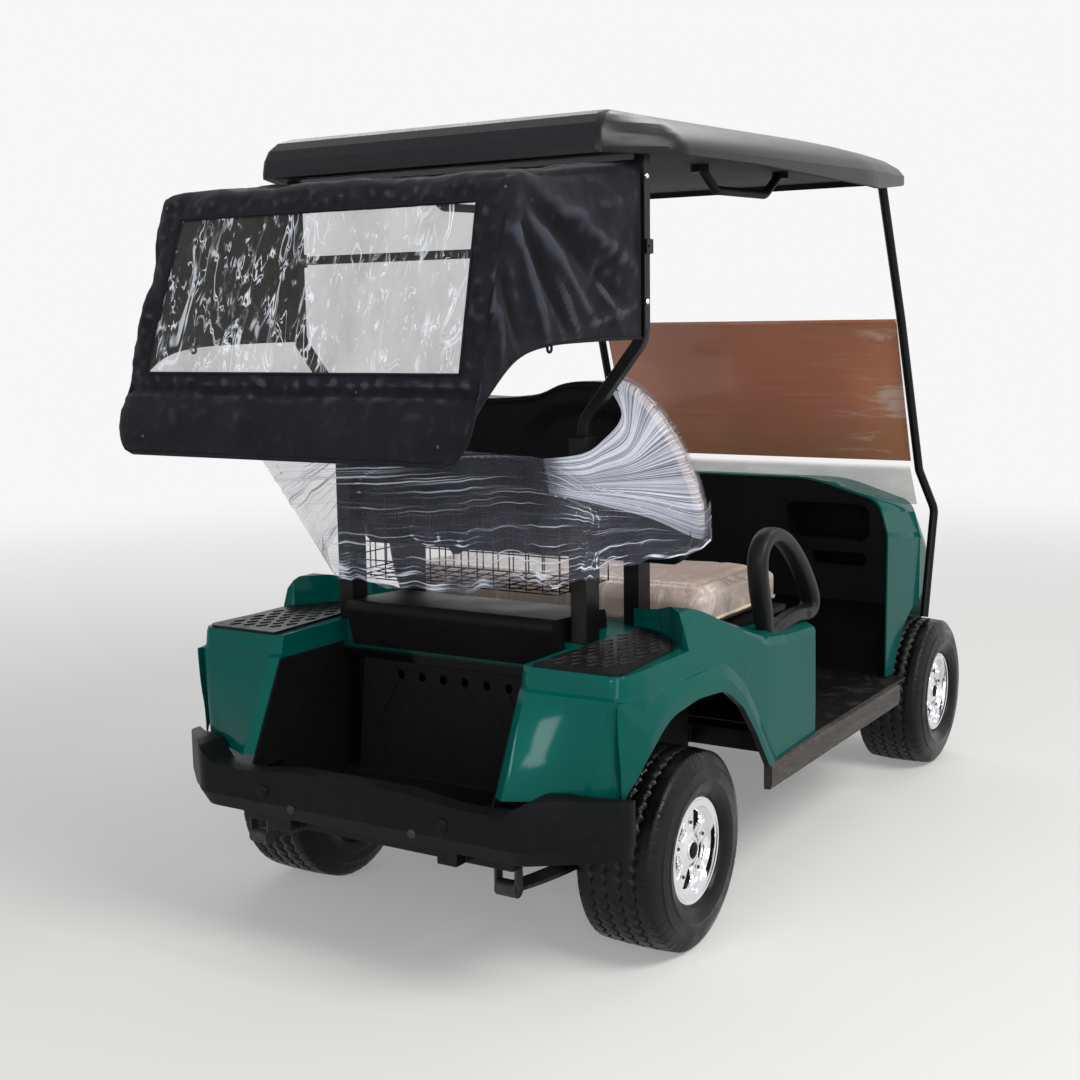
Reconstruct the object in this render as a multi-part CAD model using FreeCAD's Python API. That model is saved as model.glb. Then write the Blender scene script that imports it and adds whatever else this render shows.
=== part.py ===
"""Two-seat golf cart with a hard roof, a rear bag cover and a fold-down windscreen.

Millimetres. +Z is up, the ground is Z = 0, the cart faces -Y and its left side is +X.
The origin is on the ground, midway between the nose and the hem of the bag cover.
"""
import FreeCAD, Part
import math
import os

os.makedirs("parts", exist_ok=True)

Vector = FreeCAD.Vector
LEFT = 1
RIGHT = -1

# Layout
NOSE_Y = -1347.5
BODY_HALF_WIDTH = 600.0
BEYOND = BODY_HALF_WIDTH + 100
ACROSS = (-BEYOND, BEYOND)
WHEEL_BASE = 1697.0
REAR_AXLE_Y = 652.5
FRONT_AXLE_Y = REAR_AXLE_Y - WHEEL_BASE
FLUSH_GAP = 0.3
PIN_GAP = 0.1
OPEN_PIN_GAP = 0.6

# Wheels: x is counted outwards from the middle of the tread
TYRE_RADIUS = 228.0
TYRE_WIDTH = 215.0
TYRE_BEAD_WIDTH = 168.0
RIM_RADIUS = 104.0
RIM_LIP = 16.0
RIM_WALL = 4.0
REAR_TRACK = 967.0
FRONT_TRACK = 999.0
HUB_RADIUS = 36.0
HUB_LENGTH = 70.0
HUB_CAP_LENGTH = 16.0
SPINDLE_RADIUS = 14.0
SPOKE_COUNT = 5
DISC_X = 42.0
DISC_THICK = 8.0
WINDOW_IN = 48.0
WINDOW_OUT = 86.0
WINDOW_ANGLE = 36.0

# Axles, springs and steering
AXLE_RADIUS = 24.0
DRUM_RADIUS = 82.0
DRUM_LENGTH = 36.0
DIFFERENTIAL_RADIUS = 78.0
DIFFERENTIAL_HALF = 62.0
MOTOR_RADIUS = 84.0
MOTOR_LENGTH = 270.0
MOTOR_X = 60.0
KINGPIN_X = 425.0
KINGPIN_RADIUS = 9.0
KNUCKLE_RADIUS = 19.0
KNUCKLE_BOSS_HEIGHT = 30.0
FORK_SWEEP = 16.0
KNUCKLE_EAR = 12.0
STEER_ARM_LENGTH = 60.0
STEER_ARM_WIDTH = 26.0
TIE_ROD_RADIUS = 7.0
TIE_STUD_RADIUS = 6.0
PITMAN_X = 120.0
PITMAN_THICK = 10.0
STEER_BOX = (60.0, 70.0, 46.0)
SPRING_WIDTH = 50.0
SPRING_LEAF = 8.0
FRONT_SPRING_X = 225.0
FRONT_SPRING_HALF = 250.0
TYRE_SPRING_GAP = 12.0
REAR_SPRING_X = REAR_TRACK / 2 - TYRE_WIDTH / 2 - TYRE_SPRING_GAP - SPRING_WIDTH / 2
REAR_SPRING_HALF = 408.0
REAR_SPRING_RISE = 34.0
SHACKLE_RADIUS = 18.0

# Chassis and floor
RAIL_X = 225.0
RAIL_WIDTH = 50.0
RAIL_HEIGHT = 50.0
RAIL_TOP = 330.0
RAIL_FRONT_Y = -1290.0
CROSS_WIDTH = 50.0
FLOOR_THICK = 6.0
SILL_INSET = 16.0
FLOOR_HALF_WIDTH = BODY_HALF_WIDTH - SILL_INSET
FLOOR_FRONT_Y = -745.0
FLOOR_REAR_Y = 40.0
FLOOR_RIBS = 9
FLOOR_RIB_WIDTH = 30.0
FLOOR_RIB_HEIGHT = 3.0
FLOOR_Z = RAIL_TOP + FLOOR_THICK
BATTERY_HALF_WIDTH = 262.0
BATTERY_LENGTH = 330.0
BATTERY_HEIGHT = 262.0
BATTERY_FRONT_Y = 60.0

# Rocker panels
ROCKER_FRONT_Y = -632.0
ROCKER_REAR_Y = 304.0
ROCKER_BOTTOM = 277.0
ROCKER_HEIGHT = 62.0
ROCKER_THICK = 22.0
ROCKER_TOP = ROCKER_BOTTOM + ROCKER_HEIGHT

# Rear body shell
BODY_WALL = 5.0
BODY_FRONT_Y = -32.0
BODY_BOTTOM = ROCKER_TOP + FLUSH_GAP
BODY_SKIRT_Z = 434.0
DECK_Z = 690.0
SEAT_DECK_Z = 640.0
SEAT_WELL_REAR_Y = 430.0
SEAT_WELL_GAP = 12.0
HATCH_INSET = 80.0
HATCH_FRONT_Y = 25.0
HATCH_REAR_Y = 380.0
HUMP_Z = 767.0
STEP_Z = 647.0
WELL_HALF_WIDTH = 329.0
WELL_BEVEL_X = 22.0
WELL_BEVEL_Y = 14.0
WELL_FRONT_Y = 740.0
BAND_HEIGHT = 52.0
STRIP_LOW = 604.0
STRIP_HIGH = 634.0
STRIP_DEPTH = 18.0
MAT_THICK = 6.0
MAT_INSET = 6.0

BODY_LEVELS = [
    # Z, rear Y beside the well, corner inset from the side, corner Y, corner radius, side inset
    (BODY_BOTTOM - 60, 1142, 80, 1030, 110, 4),
    (BODY_SKIRT_Z, 1103, 71, 1020, 110, 4),
    (STEP_Z - 6, 1004, 23, 1000, 45, 7),
    (STEP_Z, 996, 28, 992, 40, 13),
    (DECK_Z - 10, 989, 29, 988, 34, 18),
    (DECK_Z, 985, 31, 984, 28, 25),
    (HUMP_Z - 30, 985, 38, 984, 28, 38),
    (HUMP_Z - 8, 985, 50, 984, 28, 52),
    (HUMP_Z + 30, 985, 90, 984, 28, 92),
]

SIDE_TOP = [
    # Y, Z and corner radius of the top of the side rails and humps, from the front
    (-300, 622, 0),
    (-32, 627, 0),
    (168, 640, 200),
    (280, 656, 200),
    (470, 716, 300),
    (606, HUMP_Z, 60),
    (1400, HUMP_Z, 0),
]

SIDE_ROUND = [
    # inset from the side, drop of the top there
    (-20, 110),
    (0, 56),
    (9, 30),
    (24, 11),
    (48, 0),
]

ARCH = [
    # Y, Z and corner radius of the rear wheel arch, from the front
    (300, 200, 0),
    (300, 318, 30),
    (400, 445, 130),
    (470, 520, 90),
    (560, 578, 150),
    (700, 590, 300),
    (840, 578, 200),
    (935, 520, 110),
    (985, 440, 40),
    (985, 200, 0),
]

FLARE = [
    # inset from the side, size of the arch outline there
    (30, 1.40),
    (8, 1.18),
    (-3, 1.08),
    (-7, 1.02),
]

MAT_EDGE = [
    # X, Y and corner radius of the curved front edge of the left step mat, from the middle
    (352, 527, 30),
    (420, 545, 60),
    (483, 602, 90),
    (BODY_HALF_WIDTH - 44, 688, 30),
    (BODY_HALF_WIDTH + 60, 705, 0),
]

# Bag well liner and the box cover at its front
LINER_WALL = 4.0
LINER_SLOPE = 32.0
WELL_FLOOR_REAR_Y = 1096.0
POCKET_INSET = 64.0
POCKET_X = WELL_HALF_WIDTH - POCKET_INSET
POCKET_DEPTH = 60.0
VENT_COUNT = 6
VENT_PITCH = 61.0
VENT_RADIUS = 10.0
VENT_Z = 572.0
BOX_HALF_WIDTH = 290.0
BOX_TOP_Z = 748.0
BOX_FRONT_Y = 545.0
BOX_REAR_Y = 800.0

# Rear bumper
BUMPER_REAR_Y = 1160.0
BUMPER_INSET = 2.0
BUMPER_HALF_WIDTH = BODY_HALF_WIDTH - BUMPER_INSET
BUMPER_BOTTOM = 318.0
BUMPER_WALL = 6.0
BUMPER_TUCK = 70.0
BUMPER_TUCK_HEIGHT = 36.0
BUMPER_SET = 40.0
BUMPER_BODY_GAP = 4.0

BUMPER_LEVELS = [
    # Z, rear Y, corner inset from the bumper's half width, side inset
    (BUMPER_BOTTOM - 80, BUMPER_REAR_Y - BUMPER_TUCK, 193, 20),
    (BUMPER_BOTTOM + BUMPER_TUCK_HEIGHT, BUMPER_REAR_Y, 170, 0),
    (480, BUMPER_REAR_Y, 168, 0),
]

BUMPER_TOP = [
    # X, Z and corner radius of the left half of the top edge, from the middle
    (150, 436, 0),
    (265, 423, 60),
    (385, 420, 40),
    (440, 456, 30),
    (480, 458, 60),
    (BODY_HALF_WIDTH + 40, 436, 0),
]

# Cowl, dash and front bumper
COWL_INSET = 60.0
COWL_HALF_WIDTH = BODY_HALF_WIDTH - COWL_INSET
COWL_WALL = 5.0
COWL_REAR_Y = -700.0
COWL_ARCH_RADIUS = 302.0
COWL_ARCH_GAP = 62.0
COWL_ARCH_INNER_X = FRONT_TRACK / 2 - TYRE_WIDTH / 2 - COWL_ARCH_GAP
DASH_DEPTH = 130.0
DASH_BOTTOM_Z = 560.0
TOE_WALL_THICK = 5.0
LAMP_X = COWL_HALF_WIDTH - 188
LAMP_Z = 590.0
LAMP_RADIUS = 52.0
FRONT_BUMPER_HALF = COWL_HALF_WIDTH - 168
FRONT_BUMPER_BOTTOM = 292.0
FRONT_BUMPER_TOP = 410.0
FRONT_BUMPER_DEPTH = 52.0

COWL_SECTIONS = [
    # Y, inset from the cowl's half width, crown Z, shoulder Z
    (COWL_REAR_Y, 0, 938, 806),
    (-1000, 0, 910, 770),
    (-1230, 40, 770, 650),
    (NOSE_Y, 130, 590, 500),
]

DASH_BINS = [
    # inner X, outer X, low Z, high Z, corner radius, depth
    (60 - COWL_HALF_WIDTH, -215, 740, 852, 34, 110),
    (215, COWL_HALF_WIDTH - 60, 740, 852, 34, 110),
    (70 - COWL_HALF_WIDTH, -300, 666, 706, 14, 80),
]

PEDALS = [
    # X, width of the pad
    (170, 70),
    (236, 40),
]

# Seat
ARMREST_INSET = 60.0
ARMREST_X = BODY_HALF_WIDTH - ARMREST_INSET
ARMREST_GAP = 41.0
ARMREST_RADIUS = 19.0
ARMREST_BEND = 34.0
ARMREST_BAR_RADIUS = 15.0
SEAT_HALF_WIDTH = ARMREST_X - ARMREST_RADIUS - ARMREST_GAP
SEAT_FRONT_Y = -121.0
SEAT_REAR_Y = 400.0
SEAT_THICK = 105.0
SEAT_BOARD = 14.0
HINGE_Y = -42.0
HINGE_Z = 632.0
HINGE_X = 250.0
HINGE_RADIUS = 7.0
HINGE_PIN = 4.0
HINGE_LENGTH = 30.0
BACK_OVERHANG = 69.0
BACK_HALF_WIDTH = SEAT_HALF_WIDTH + BACK_OVERHANG
BACK_Z = 905.0
BACK_HEIGHT = 400.0
BACK_THICK = 95.0
BACK_FRONT_Y = 405.0
BACK_TILT = 12.0
BACK_SHELL = 22.0
BACK_SHELL_DROP = 45.0

ARMREST_LOOP = [
    # Y, Z of the hoop, from its rear foot over the top to its front foot
    (224, 636),
    (196, 740),
    (162, 885),
    (46, 838),
    (-116, 668),
]

# Steering wheel and column
WHEEL_X = 300.0
WHEEL_Y = -430.0
WHEEL_Z = 905.0
STEERING_RADIUS = 170.0
STEERING_RIM = 13.0
COLUMN_RADIUS = 20.0
COLUMN_LENGTH = 520.0
COLUMN_TILT = 34.0

# Roof and what holds it up
ROOF_INSET = 40.0
ROOF_HALF_WIDTH = BODY_HALF_WIDTH - ROOF_INSET
ROOF_REAR_HALF = ROOF_HALF_WIDTH - 108
ROOF_FRONT_Y = -877.5
ROOF_REAR_Y = 846.5
ROOF_UNDER_Z = 1771.4
ROOF_UNDER_SLOPE = -0.0376
STRUT_X = ROOF_HALF_WIDTH - 86
STRUT_SIZE = 25.0
STRUT_Y = 707.5
STRUT_BEND_Z = 1372.0
POST_X = 328.0
POST_WIDTH = 40.0
POST_DEPTH = 58.0
POST_TOP_Z = 1150.0
FRONT_POST_Y = 467.5
CROSSBAR_Z = 1555.0
CROSSBAR_SIZE = 20.0
SCREEN_STRUT_X = ROOF_HALF_WIDTH - 45
SCREEN_STRUT_RADIUS = 13.0
SCREEN_THICK = 5.0
SCREEN_TOP_Z = 1384.0
SCREEN_STRUT_GAP = 6.0
SCREEN_HALF_WIDTH = SCREEN_STRUT_X - SCREEN_STRUT_RADIUS - SCREEN_STRUT_GAP
PANE_LOW_Z = 812.0
FOLD_LOW_Z = 955.0
FOLD_GAP = 9.0
FOLD_STRIP = 9.0
HANDLE_X = ROOF_HALF_WIDTH - 160
HANDLE_RADIUS = 11.0
HANDLE_FOOT_RADIUS = 22.0

ROOF_LEVELS = [
    # Z at the rear, Z at the front, inset at the sides, at the front, at the rear
    (1650, 1650, 0, 0, 0),
    (1752, 1806, 0, 0, 0),
    (1778, 1826, 12, 20, 3),
    (1802, 1847, 40, 64, 13),
    (1821, 1864, 82, 124, 34),
    (1833, 1875, 128, 196, 70),
]

ROOF_LIP = [
    # Y, Z and corner radius of the underside of the rim, from the rear
    (1000, 1738, 0),
    (792, 1740, 300),
    (292, 1752, 300),
    (-545, 1751, 300),
    (-800, 1775, 200),
    (-1000, 1812, 0),
]

ROOF_EDGE = 14.0

HANDLE_FEET_Y = (276, -204)
HANDLE_FOOT_SINK = 4.0
HANDLE_FOOT_HALF = 14.0
HANDLE_BEND = 40.0

HANDLE_GRIP = [
    # Y, Z of the corners of the grip, from the rear
    (192, 1708),
    (-106, 1715),
]

SCREEN_LINE = [
    # Y, Z of the screen struts' centre line, from the cowl up
    (-1100, 812),
    (-1027, 928),
    (-857, 1384),
    (-680, 1797),
]
PANE_BEND_Z = SCREEN_LINE[1][1]

# Bag cover
HOOD_FRONT_HALF = STRUT_X + 4
HOOD_WALL = 6.0
HOOD_HEM_Y = 1347.5
HOOD_HEM_Z = 1141.0
HOOD_TOP_Y = 1172.5
HOOD_TOP_Z = 1686.0
HOOD_FRONT_Z = 1735.0
HOOD_REAR_HALF = HOOD_FRONT_HALF - 23
HOOD_HEM_HALF = HOOD_FRONT_HALF - 109
HOOD_CORNER_HALF = HOOD_FRONT_HALF - 29
HOOD_CORNER_Z = HOOD_HEM_Z + 95
WINDOW_HALF_WIDTH = HOOD_FRONT_HALF - 78
WINDOW_TAPER = 22.0
WINDOW_SET = 1.5
WINDOW_LOW_Z = 1309.0
WINDOW_HIGH_Z = 1624.0
WINDOW_THICK = 3.0

HOOD_EDGE = [
    # Y, Z and corner radius of the lower edge of the cover's sides, from the struts
    (600, 1362, 0),
    (1084, 1356, 120),
    (1192, 1331, 60),
    (1278, 1262, 60),
    (1306, 1190, 0),
    (1325, HOOD_HEM_Z, 0),
]

# Basket and film
BASKET_FRONT_Y = 560.0
BASKET_REAR_Y = 785.0
BASKET_LOW_Z = 800.0
BASKET_HIGH_Z = 985.0
BASKET_WALL = 4.0
BASKET_BAR = 5.0
BASKET_PITCH = 50.0
FILM_THICK = 3.0
FILM_FRONT_Y = 500.0
FILM_BEND_Y = 575.0
FILM_POST_GAP = 12.0

FILM_FACE = [
    # X beyond the posts' outer faces or the seat back's half width, Z, seen from behind
    ("post", FILM_POST_GAP, 1095),
    ("back", 11, 1290),
    ("back", 11, 925),
    ("post", FILM_POST_GAP + 10, 838),
    ("post", -148, 806),
]


def corner(before, point, after, radius):
    """Start, middle and end of the arc that rounds one corner of an outline."""
    back = (before - point).normalize()
    ahead = (after - point).normalize()
    half = back.getAngle(ahead) / 2
    reach = radius / math.tan(half)
    middle = point + (back + ahead).normalize() * (radius / math.sin(half) - radius)
    return point + back * reach, middle, point + ahead * reach


def outline(points, place):
    """Closed wire of lines and arcs from (a, b) or (a, b, corner radius) points."""
    spots = [place(point[0], point[1]) for point in points]
    radii = [point[2] if len(point) > 2 else 0 for point in points]
    corners = []
    for index, spot in enumerate(spots):
        if radii[index]:
            after = spots[(index + 1) % len(spots)]
            corners.append(corner(spots[index - 1], spot, after, radii[index]))
        else:
            corners.append((spot,))
    edges = []
    for index, spot in enumerate(corners):
        if len(spot) == 3:
            edges.append(Part.Arc(*spot).toShape())
        following = corners[(index + 1) % len(corners)]
        if spot[-1].distanceToPoint(following[0]) > 1e-6:
            edges.append(Part.makeLine(spot[-1], following[0]))
    return Part.Wire(edges)


def alongX(points, low, high):
    """Prism along X of an outline in (y, z)."""
    face = Part.Face(outline(points, lambda y, z: Vector(low, y, z)))
    return face.extrude(Vector(high - low, 0, 0))


def alongY(points, low, high):
    """Prism along Y of an outline in (x, z)."""
    face = Part.Face(outline(points, lambda x, z: Vector(x, low, z)))
    return face.extrude(Vector(0, high - low, 0))


def alongZ(points, low, high):
    """Prism along Z of an outline in (x, y)."""
    face = Part.Face(outline(points, lambda x, y: Vector(x, y, low)))
    return face.extrude(Vector(0, 0, high - low))


def block(x, y, z):
    """Box from (low, high) pairs."""
    return Part.makeBox(x[1] - x[0], y[1] - y[0], z[1] - z[0], Vector(x[0], y[0], z[0]))


def rod(start, end, radius):
    """Round bar between two points."""
    return Part.makeCylinder(radius, start.distanceToPoint(end), start, end - start)


def mirrored(shape):
    return shape.mirror(Vector(0, 0, 0), Vector(1, 0, 0))


def pair(shape):
    """The left piece and its mirror image, as two solids of one node."""
    return Part.makeCompound([shape, mirrored(shape)])


def joined(shapes):
    """One solid out of touching or overlapping shapes."""
    return shapes[0].fuse(shapes[1:]).removeSplitter()


def symmetric(points):
    """Outline points of the left half, run from top to bottom, closed by their mirror."""
    return points + [(-point[0],) + tuple(point[1:]) for point in reversed(points)]


def bentTube(points, bend, section):
    """Tube with a round (radius) or square (size, size) section along rounded points."""
    path = []
    start = points[0]
    for index in range(1, len(points) - 1):
        first, middle, last = corner(points[index - 1], points[index], points[index + 1], bend)
        path += [Part.makeLine(start, first), Part.Arc(first, middle, last).toShape()]
        start = last
    path.append(Part.makeLine(start, points[-1]))
    heading = (points[1] - points[0]).normalize()
    if isinstance(section, tuple):
        wide = Vector(1, 0, 0) if abs(heading.x) < 0.5 else Vector(0, 1, 0)
        deep = heading.cross(wide).normalize()
        wide = deep.cross(heading)
        corners = [points[0] + wide * (a * section[0] / 2) + deep * (b * section[1] / 2)
                   for a, b in ((-1, -1), (1, -1), (1, 1), (-1, 1))]
        profile = Part.makePolygon(corners + corners[:1])
    else:
        profile = Part.Wire(Part.makeCircle(section, points[0], heading))
    return Part.Wire(path).makePipeShell([profile], True, True)


def save(name, shape):
    shape.exportStep("parts/" + name + ".step")


# Wheels

def tyreShape(middle):
    """Road tyre: a rounded ring that seats on the rim."""
    half = TYRE_WIDTH / 2
    bead = TYRE_BEAD_WIDTH / 2
    seat = RIM_RADIUS + FLUSH_GAP
    lip = RIM_RADIUS + RIM_LIP + 3
    wall = 0.62 * TYRE_RADIUS
    profile = [(-bead, seat), (-bead, lip), (-half, wall), (-half + 3, wall + 44), (-half + 24, TYRE_RADIUS),
               (half - 24, TYRE_RADIUS), (half - 3, wall + 44), (half, wall), (bead, lip), (bead, seat)]
    face = Part.Face(outline(profile, lambda x, r: middle + Vector(x, 0, r)))
    return face.revolve(middle, Vector(1, 0, 0), 360)


def rimShape(middle, out):
    """Pressed rim with a spoked disc and a hub; out is +1 or -1 for the side it faces."""
    bead = TYRE_BEAD_WIDTH / 2 + FLUSH_GAP
    lip = RIM_RADIUS + RIM_LIP
    inner = RIM_RADIUS - RIM_WALL
    barrel = [(-bead - RIM_WALL, inner), (-bead - RIM_WALL, lip), (-bead, lip), (-bead, RIM_RADIUS),
              (bead, RIM_RADIUS), (bead, lip), (bead + RIM_WALL, lip), (bead + RIM_WALL, inner)]
    disc = [(DISC_X, SPINDLE_RADIUS), (DISC_X, inner + 1), (DISC_X + DISC_THICK, inner + 1),
            (DISC_X + DISC_THICK, HUB_RADIUS), (DISC_X + DISC_THICK + HUB_CAP_LENGTH, HUB_RADIUS - 6, 5),
            (DISC_X + DISC_THICK + HUB_CAP_LENGTH, 0), (DISC_X - 4, 0), (DISC_X - 4, SPINDLE_RADIUS)]
    boss = [(DISC_X - HUB_LENGTH, SPINDLE_RADIUS + PIN_GAP), (DISC_X - HUB_LENGTH, HUB_RADIUS),
            (DISC_X, HUB_RADIUS), (DISC_X, SPINDLE_RADIUS + PIN_GAP)]
    solids = []
    for profile in (barrel, disc, boss):
        face = Part.Face(outline(profile, lambda x, r: middle + Vector(out * x, 0, r)))
        solids.append(face.revolve(middle, Vector(1, 0, 0), 360))
    solid = joined(solids)
    half = math.radians(WINDOW_ANGLE / 2)
    near = half * 0.72
    for index in range(SPOKE_COUNT):
        turn = 2 * math.pi * (index + 0.5) / SPOKE_COUNT
        points = [(WINDOW_IN, turn - near), (WINDOW_OUT, turn - half), (WINDOW_OUT, turn + half),
                  (WINDOW_IN, turn + near)]
        flat = [(r * math.sin(angle), r * math.cos(angle), 5) for r, angle in points]
        hole = alongX(flat, DISC_X - 1, DISC_X + DISC_THICK + 1)
        if out < 0:
            hole = mirrored(hole)
        solid = solid.cut(hole.translated(middle))
    return solid


def saveWheels():
    places = [
        # name, side, axle Y, track
        ("rl", LEFT, REAR_AXLE_Y, REAR_TRACK),
        ("rr", RIGHT, REAR_AXLE_Y, REAR_TRACK),
        ("fl", LEFT, FRONT_AXLE_Y, FRONT_TRACK),
        ("fr", RIGHT, FRONT_AXLE_Y, FRONT_TRACK),
    ]
    for name, side, axleY, track in places:
        middle = Vector(side * track / 2, axleY, TYRE_RADIUS)
        save("tyre_" + name, tyreShape(middle))
        save("rim_" + name, rimShape(middle, side))


# Axles, springs and steering

def hubFace(track):
    """How far out a spindle reaches, from the middle plane."""
    return track / 2 + DISC_X - 4 - FLUSH_GAP


def leafSpring(x, axleY, half, lowZ, rise):
    """Bowed leaf with an eye at each end; lowZ is the underside at the axle."""
    under = [(-half, lowZ + rise), (0, lowZ), (half, lowZ + rise)]
    low = Part.Arc(*[Vector(x - SPRING_WIDTH / 2, axleY + y, z) for y, z in under]).toShape()
    top = Part.Arc(*[Vector(x - SPRING_WIDTH / 2, axleY + y, z + SPRING_LEAF) for y, z in under]).toShape()
    ends = [Part.makeLine(low.Vertexes[i].Point, top.Vertexes[i].Point) for i in (0, 1)]
    leaf = Part.Face(Part.Wire([low, ends[1], top, ends[0]])).extrude(Vector(SPRING_WIDTH, 0, 0))
    return leaf


def rearAxleShape():
    """Turned axle with its spindles, brake drums and differential, and the motor in front of it."""
    face = REAR_TRACK / 2 + DISC_X - HUB_LENGTH - FLUSH_GAP
    middle = Vector(0, REAR_AXLE_Y, TYRE_RADIUS)
    half = [
        (hubFace(REAR_TRACK), SPINDLE_RADIUS),
        (face, SPINDLE_RADIUS),
        (face, DRUM_RADIUS),
        (face - DRUM_LENGTH, DRUM_RADIUS),
        (face - DRUM_LENGTH, AXLE_RADIUS),
        (DIFFERENTIAL_HALF + DIFFERENTIAL_RADIUS, AXLE_RADIUS),
        (DIFFERENTIAL_HALF, DIFFERENTIAL_RADIUS),
    ]
    profile = half + [(-point[0],) + point[1:] for point in reversed(half)]
    ends = [(-hubFace(REAR_TRACK), 0), (hubFace(REAR_TRACK), 0)]
    face = Part.Face(outline(profile + ends, lambda x, r: middle + Vector(x, 0, r)))
    axle = face.revolve(middle, Vector(1, 0, 0), 360)
    start = middle + Vector(MOTOR_X, 0, 0)
    return joined([axle, rod(start, start - Vector(0, MOTOR_LENGTH, 0), MOTOR_RADIUS)])


def rearSpringShape():
    """Leaf spring with its axle pad, front bracket, rear shackle and roller."""
    low = TYRE_RADIUS - AXLE_RADIUS - FLUSH_GAP - SPRING_LEAF
    leaf = leafSpring(REAR_SPRING_X, REAR_AXLE_Y, REAR_SPRING_HALF, low, REAR_SPRING_RISE)
    pieces = [leaf]
    eyeZ = low + REAR_SPRING_RISE + SPRING_LEAF / 2
    for end in (-1, 1):
        eyeY = REAR_AXLE_Y + end * REAR_SPRING_HALF
        x = (REAR_SPRING_X - SPRING_WIDTH / 2, REAR_SPRING_X + SPRING_WIDTH / 2)
        pieces.append(rod(Vector(x[0], eyeY, eyeZ), Vector(x[1], eyeY, eyeZ), SHACKLE_RADIUS))
        for edge in x:
            plate = block((edge - 3, edge + 3), (eyeY - 12, eyeY + 12),
                          (eyeZ, RAIL_TOP - RAIL_HEIGHT - FLUSH_GAP))
            pieces.append(plate)
    return joined(pieces)


def frontAxleShape():
    """Tube between the kingpin bosses, with the leaf springs and the steering box on it."""
    middle = Vector(0, FRONT_AXLE_Y, TYRE_RADIUS)
    inset = KINGPIN_X - KNUCKLE_RADIUS + 2
    pieces = [rod(middle - Vector(inset, 0, 0), middle + Vector(inset, 0, 0), AXLE_RADIUS)]
    for side in (LEFT, RIGHT):
        boss = Vector(side * KINGPIN_X, FRONT_AXLE_Y, TYRE_RADIUS - KNUCKLE_BOSS_HEIGHT / 2)
        pieces.append(rod(boss, boss + Vector(0, 0, KNUCKLE_BOSS_HEIGHT), KNUCKLE_RADIUS))
        low = TYRE_RADIUS + AXLE_RADIUS - 2
        rise = RAIL_TOP - RAIL_HEIGHT - FLUSH_GAP - SPRING_LEAF - low
        pieces.append(leafSpring(side * FRONT_SPRING_X, FRONT_AXLE_Y, FRONT_SPRING_HALF, low, rise))
    width, depth, height = STEER_BOX
    top = TYRE_RADIUS + AXLE_RADIUS
    pieces.append(block((PITMAN_X - width / 2, PITMAN_X + width / 2),
                        (FRONT_AXLE_Y - depth / 2, FRONT_AXLE_Y + depth / 2), (top - 10, top + height)))
    foot = Vector(PITMAN_X, FRONT_AXLE_Y, TYRE_RADIUS - AXLE_RADIUS - 8)
    pieces.append(rod(foot, foot + Vector(0, 0, 30), KNUCKLE_RADIUS))
    solid = joined(pieces)
    for side in (LEFT, RIGHT):
        hole = Vector(side * KINGPIN_X, FRONT_AXLE_Y, TYRE_RADIUS - KNUCKLE_BOSS_HEIGHT)
        solid = solid.cut(rod(hole, hole + Vector(0, 0, 2 * KNUCKLE_BOSS_HEIGHT), KINGPIN_RADIUS + PIN_GAP))
        fork = Vector(side * KINGPIN_X, FRONT_AXLE_Y, 0)
        clear = Part.makeCylinder(KNUCKLE_RADIUS + FORK_SWEEP, 2 * TYRE_RADIUS, fork)
        keep = Part.makeCylinder(KNUCKLE_RADIUS + FORK_SWEEP + 1, KNUCKLE_BOSS_HEIGHT,
                                 fork + Vector(0, 0, TYRE_RADIUS - KNUCKLE_BOSS_HEIGHT / 2))
        solid = solid.cut(clear.cut(keep))
    bore = foot - Vector(0, 0, 5)
    return solid.cut(rod(bore, bore + Vector(0, 0, 45), KINGPIN_RADIUS + PIN_GAP))


def armZ():
    """Underside of the steering arms, level with the lower fork ear."""
    return TYRE_RADIUS - KNUCKLE_BOSS_HEIGHT / 2 - FLUSH_GAP - KNUCKLE_EAR


def armPlate(x, lowZ, thick, hole):
    """Flat lever from a vertical pivot on the axle line back to its stud hole."""
    width = STEER_ARM_WIDTH
    pivot = Vector(x, FRONT_AXLE_Y, lowZ)
    eye = pivot + Vector(0, STEER_ARM_LENGTH, 0)
    up = Vector(0, 0, thick)
    bar = block((x - width / 2 + 3, x + width / 2 - 3), (FRONT_AXLE_Y, FRONT_AXLE_Y + STEER_ARM_LENGTH),
                (lowZ, lowZ + thick))
    lever = joined([bar, rod(pivot, pivot + up, KNUCKLE_RADIUS), rod(eye, eye + up, width / 2)])
    return lever.cut(rod(eye - up, eye + up * 2, hole))


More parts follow.
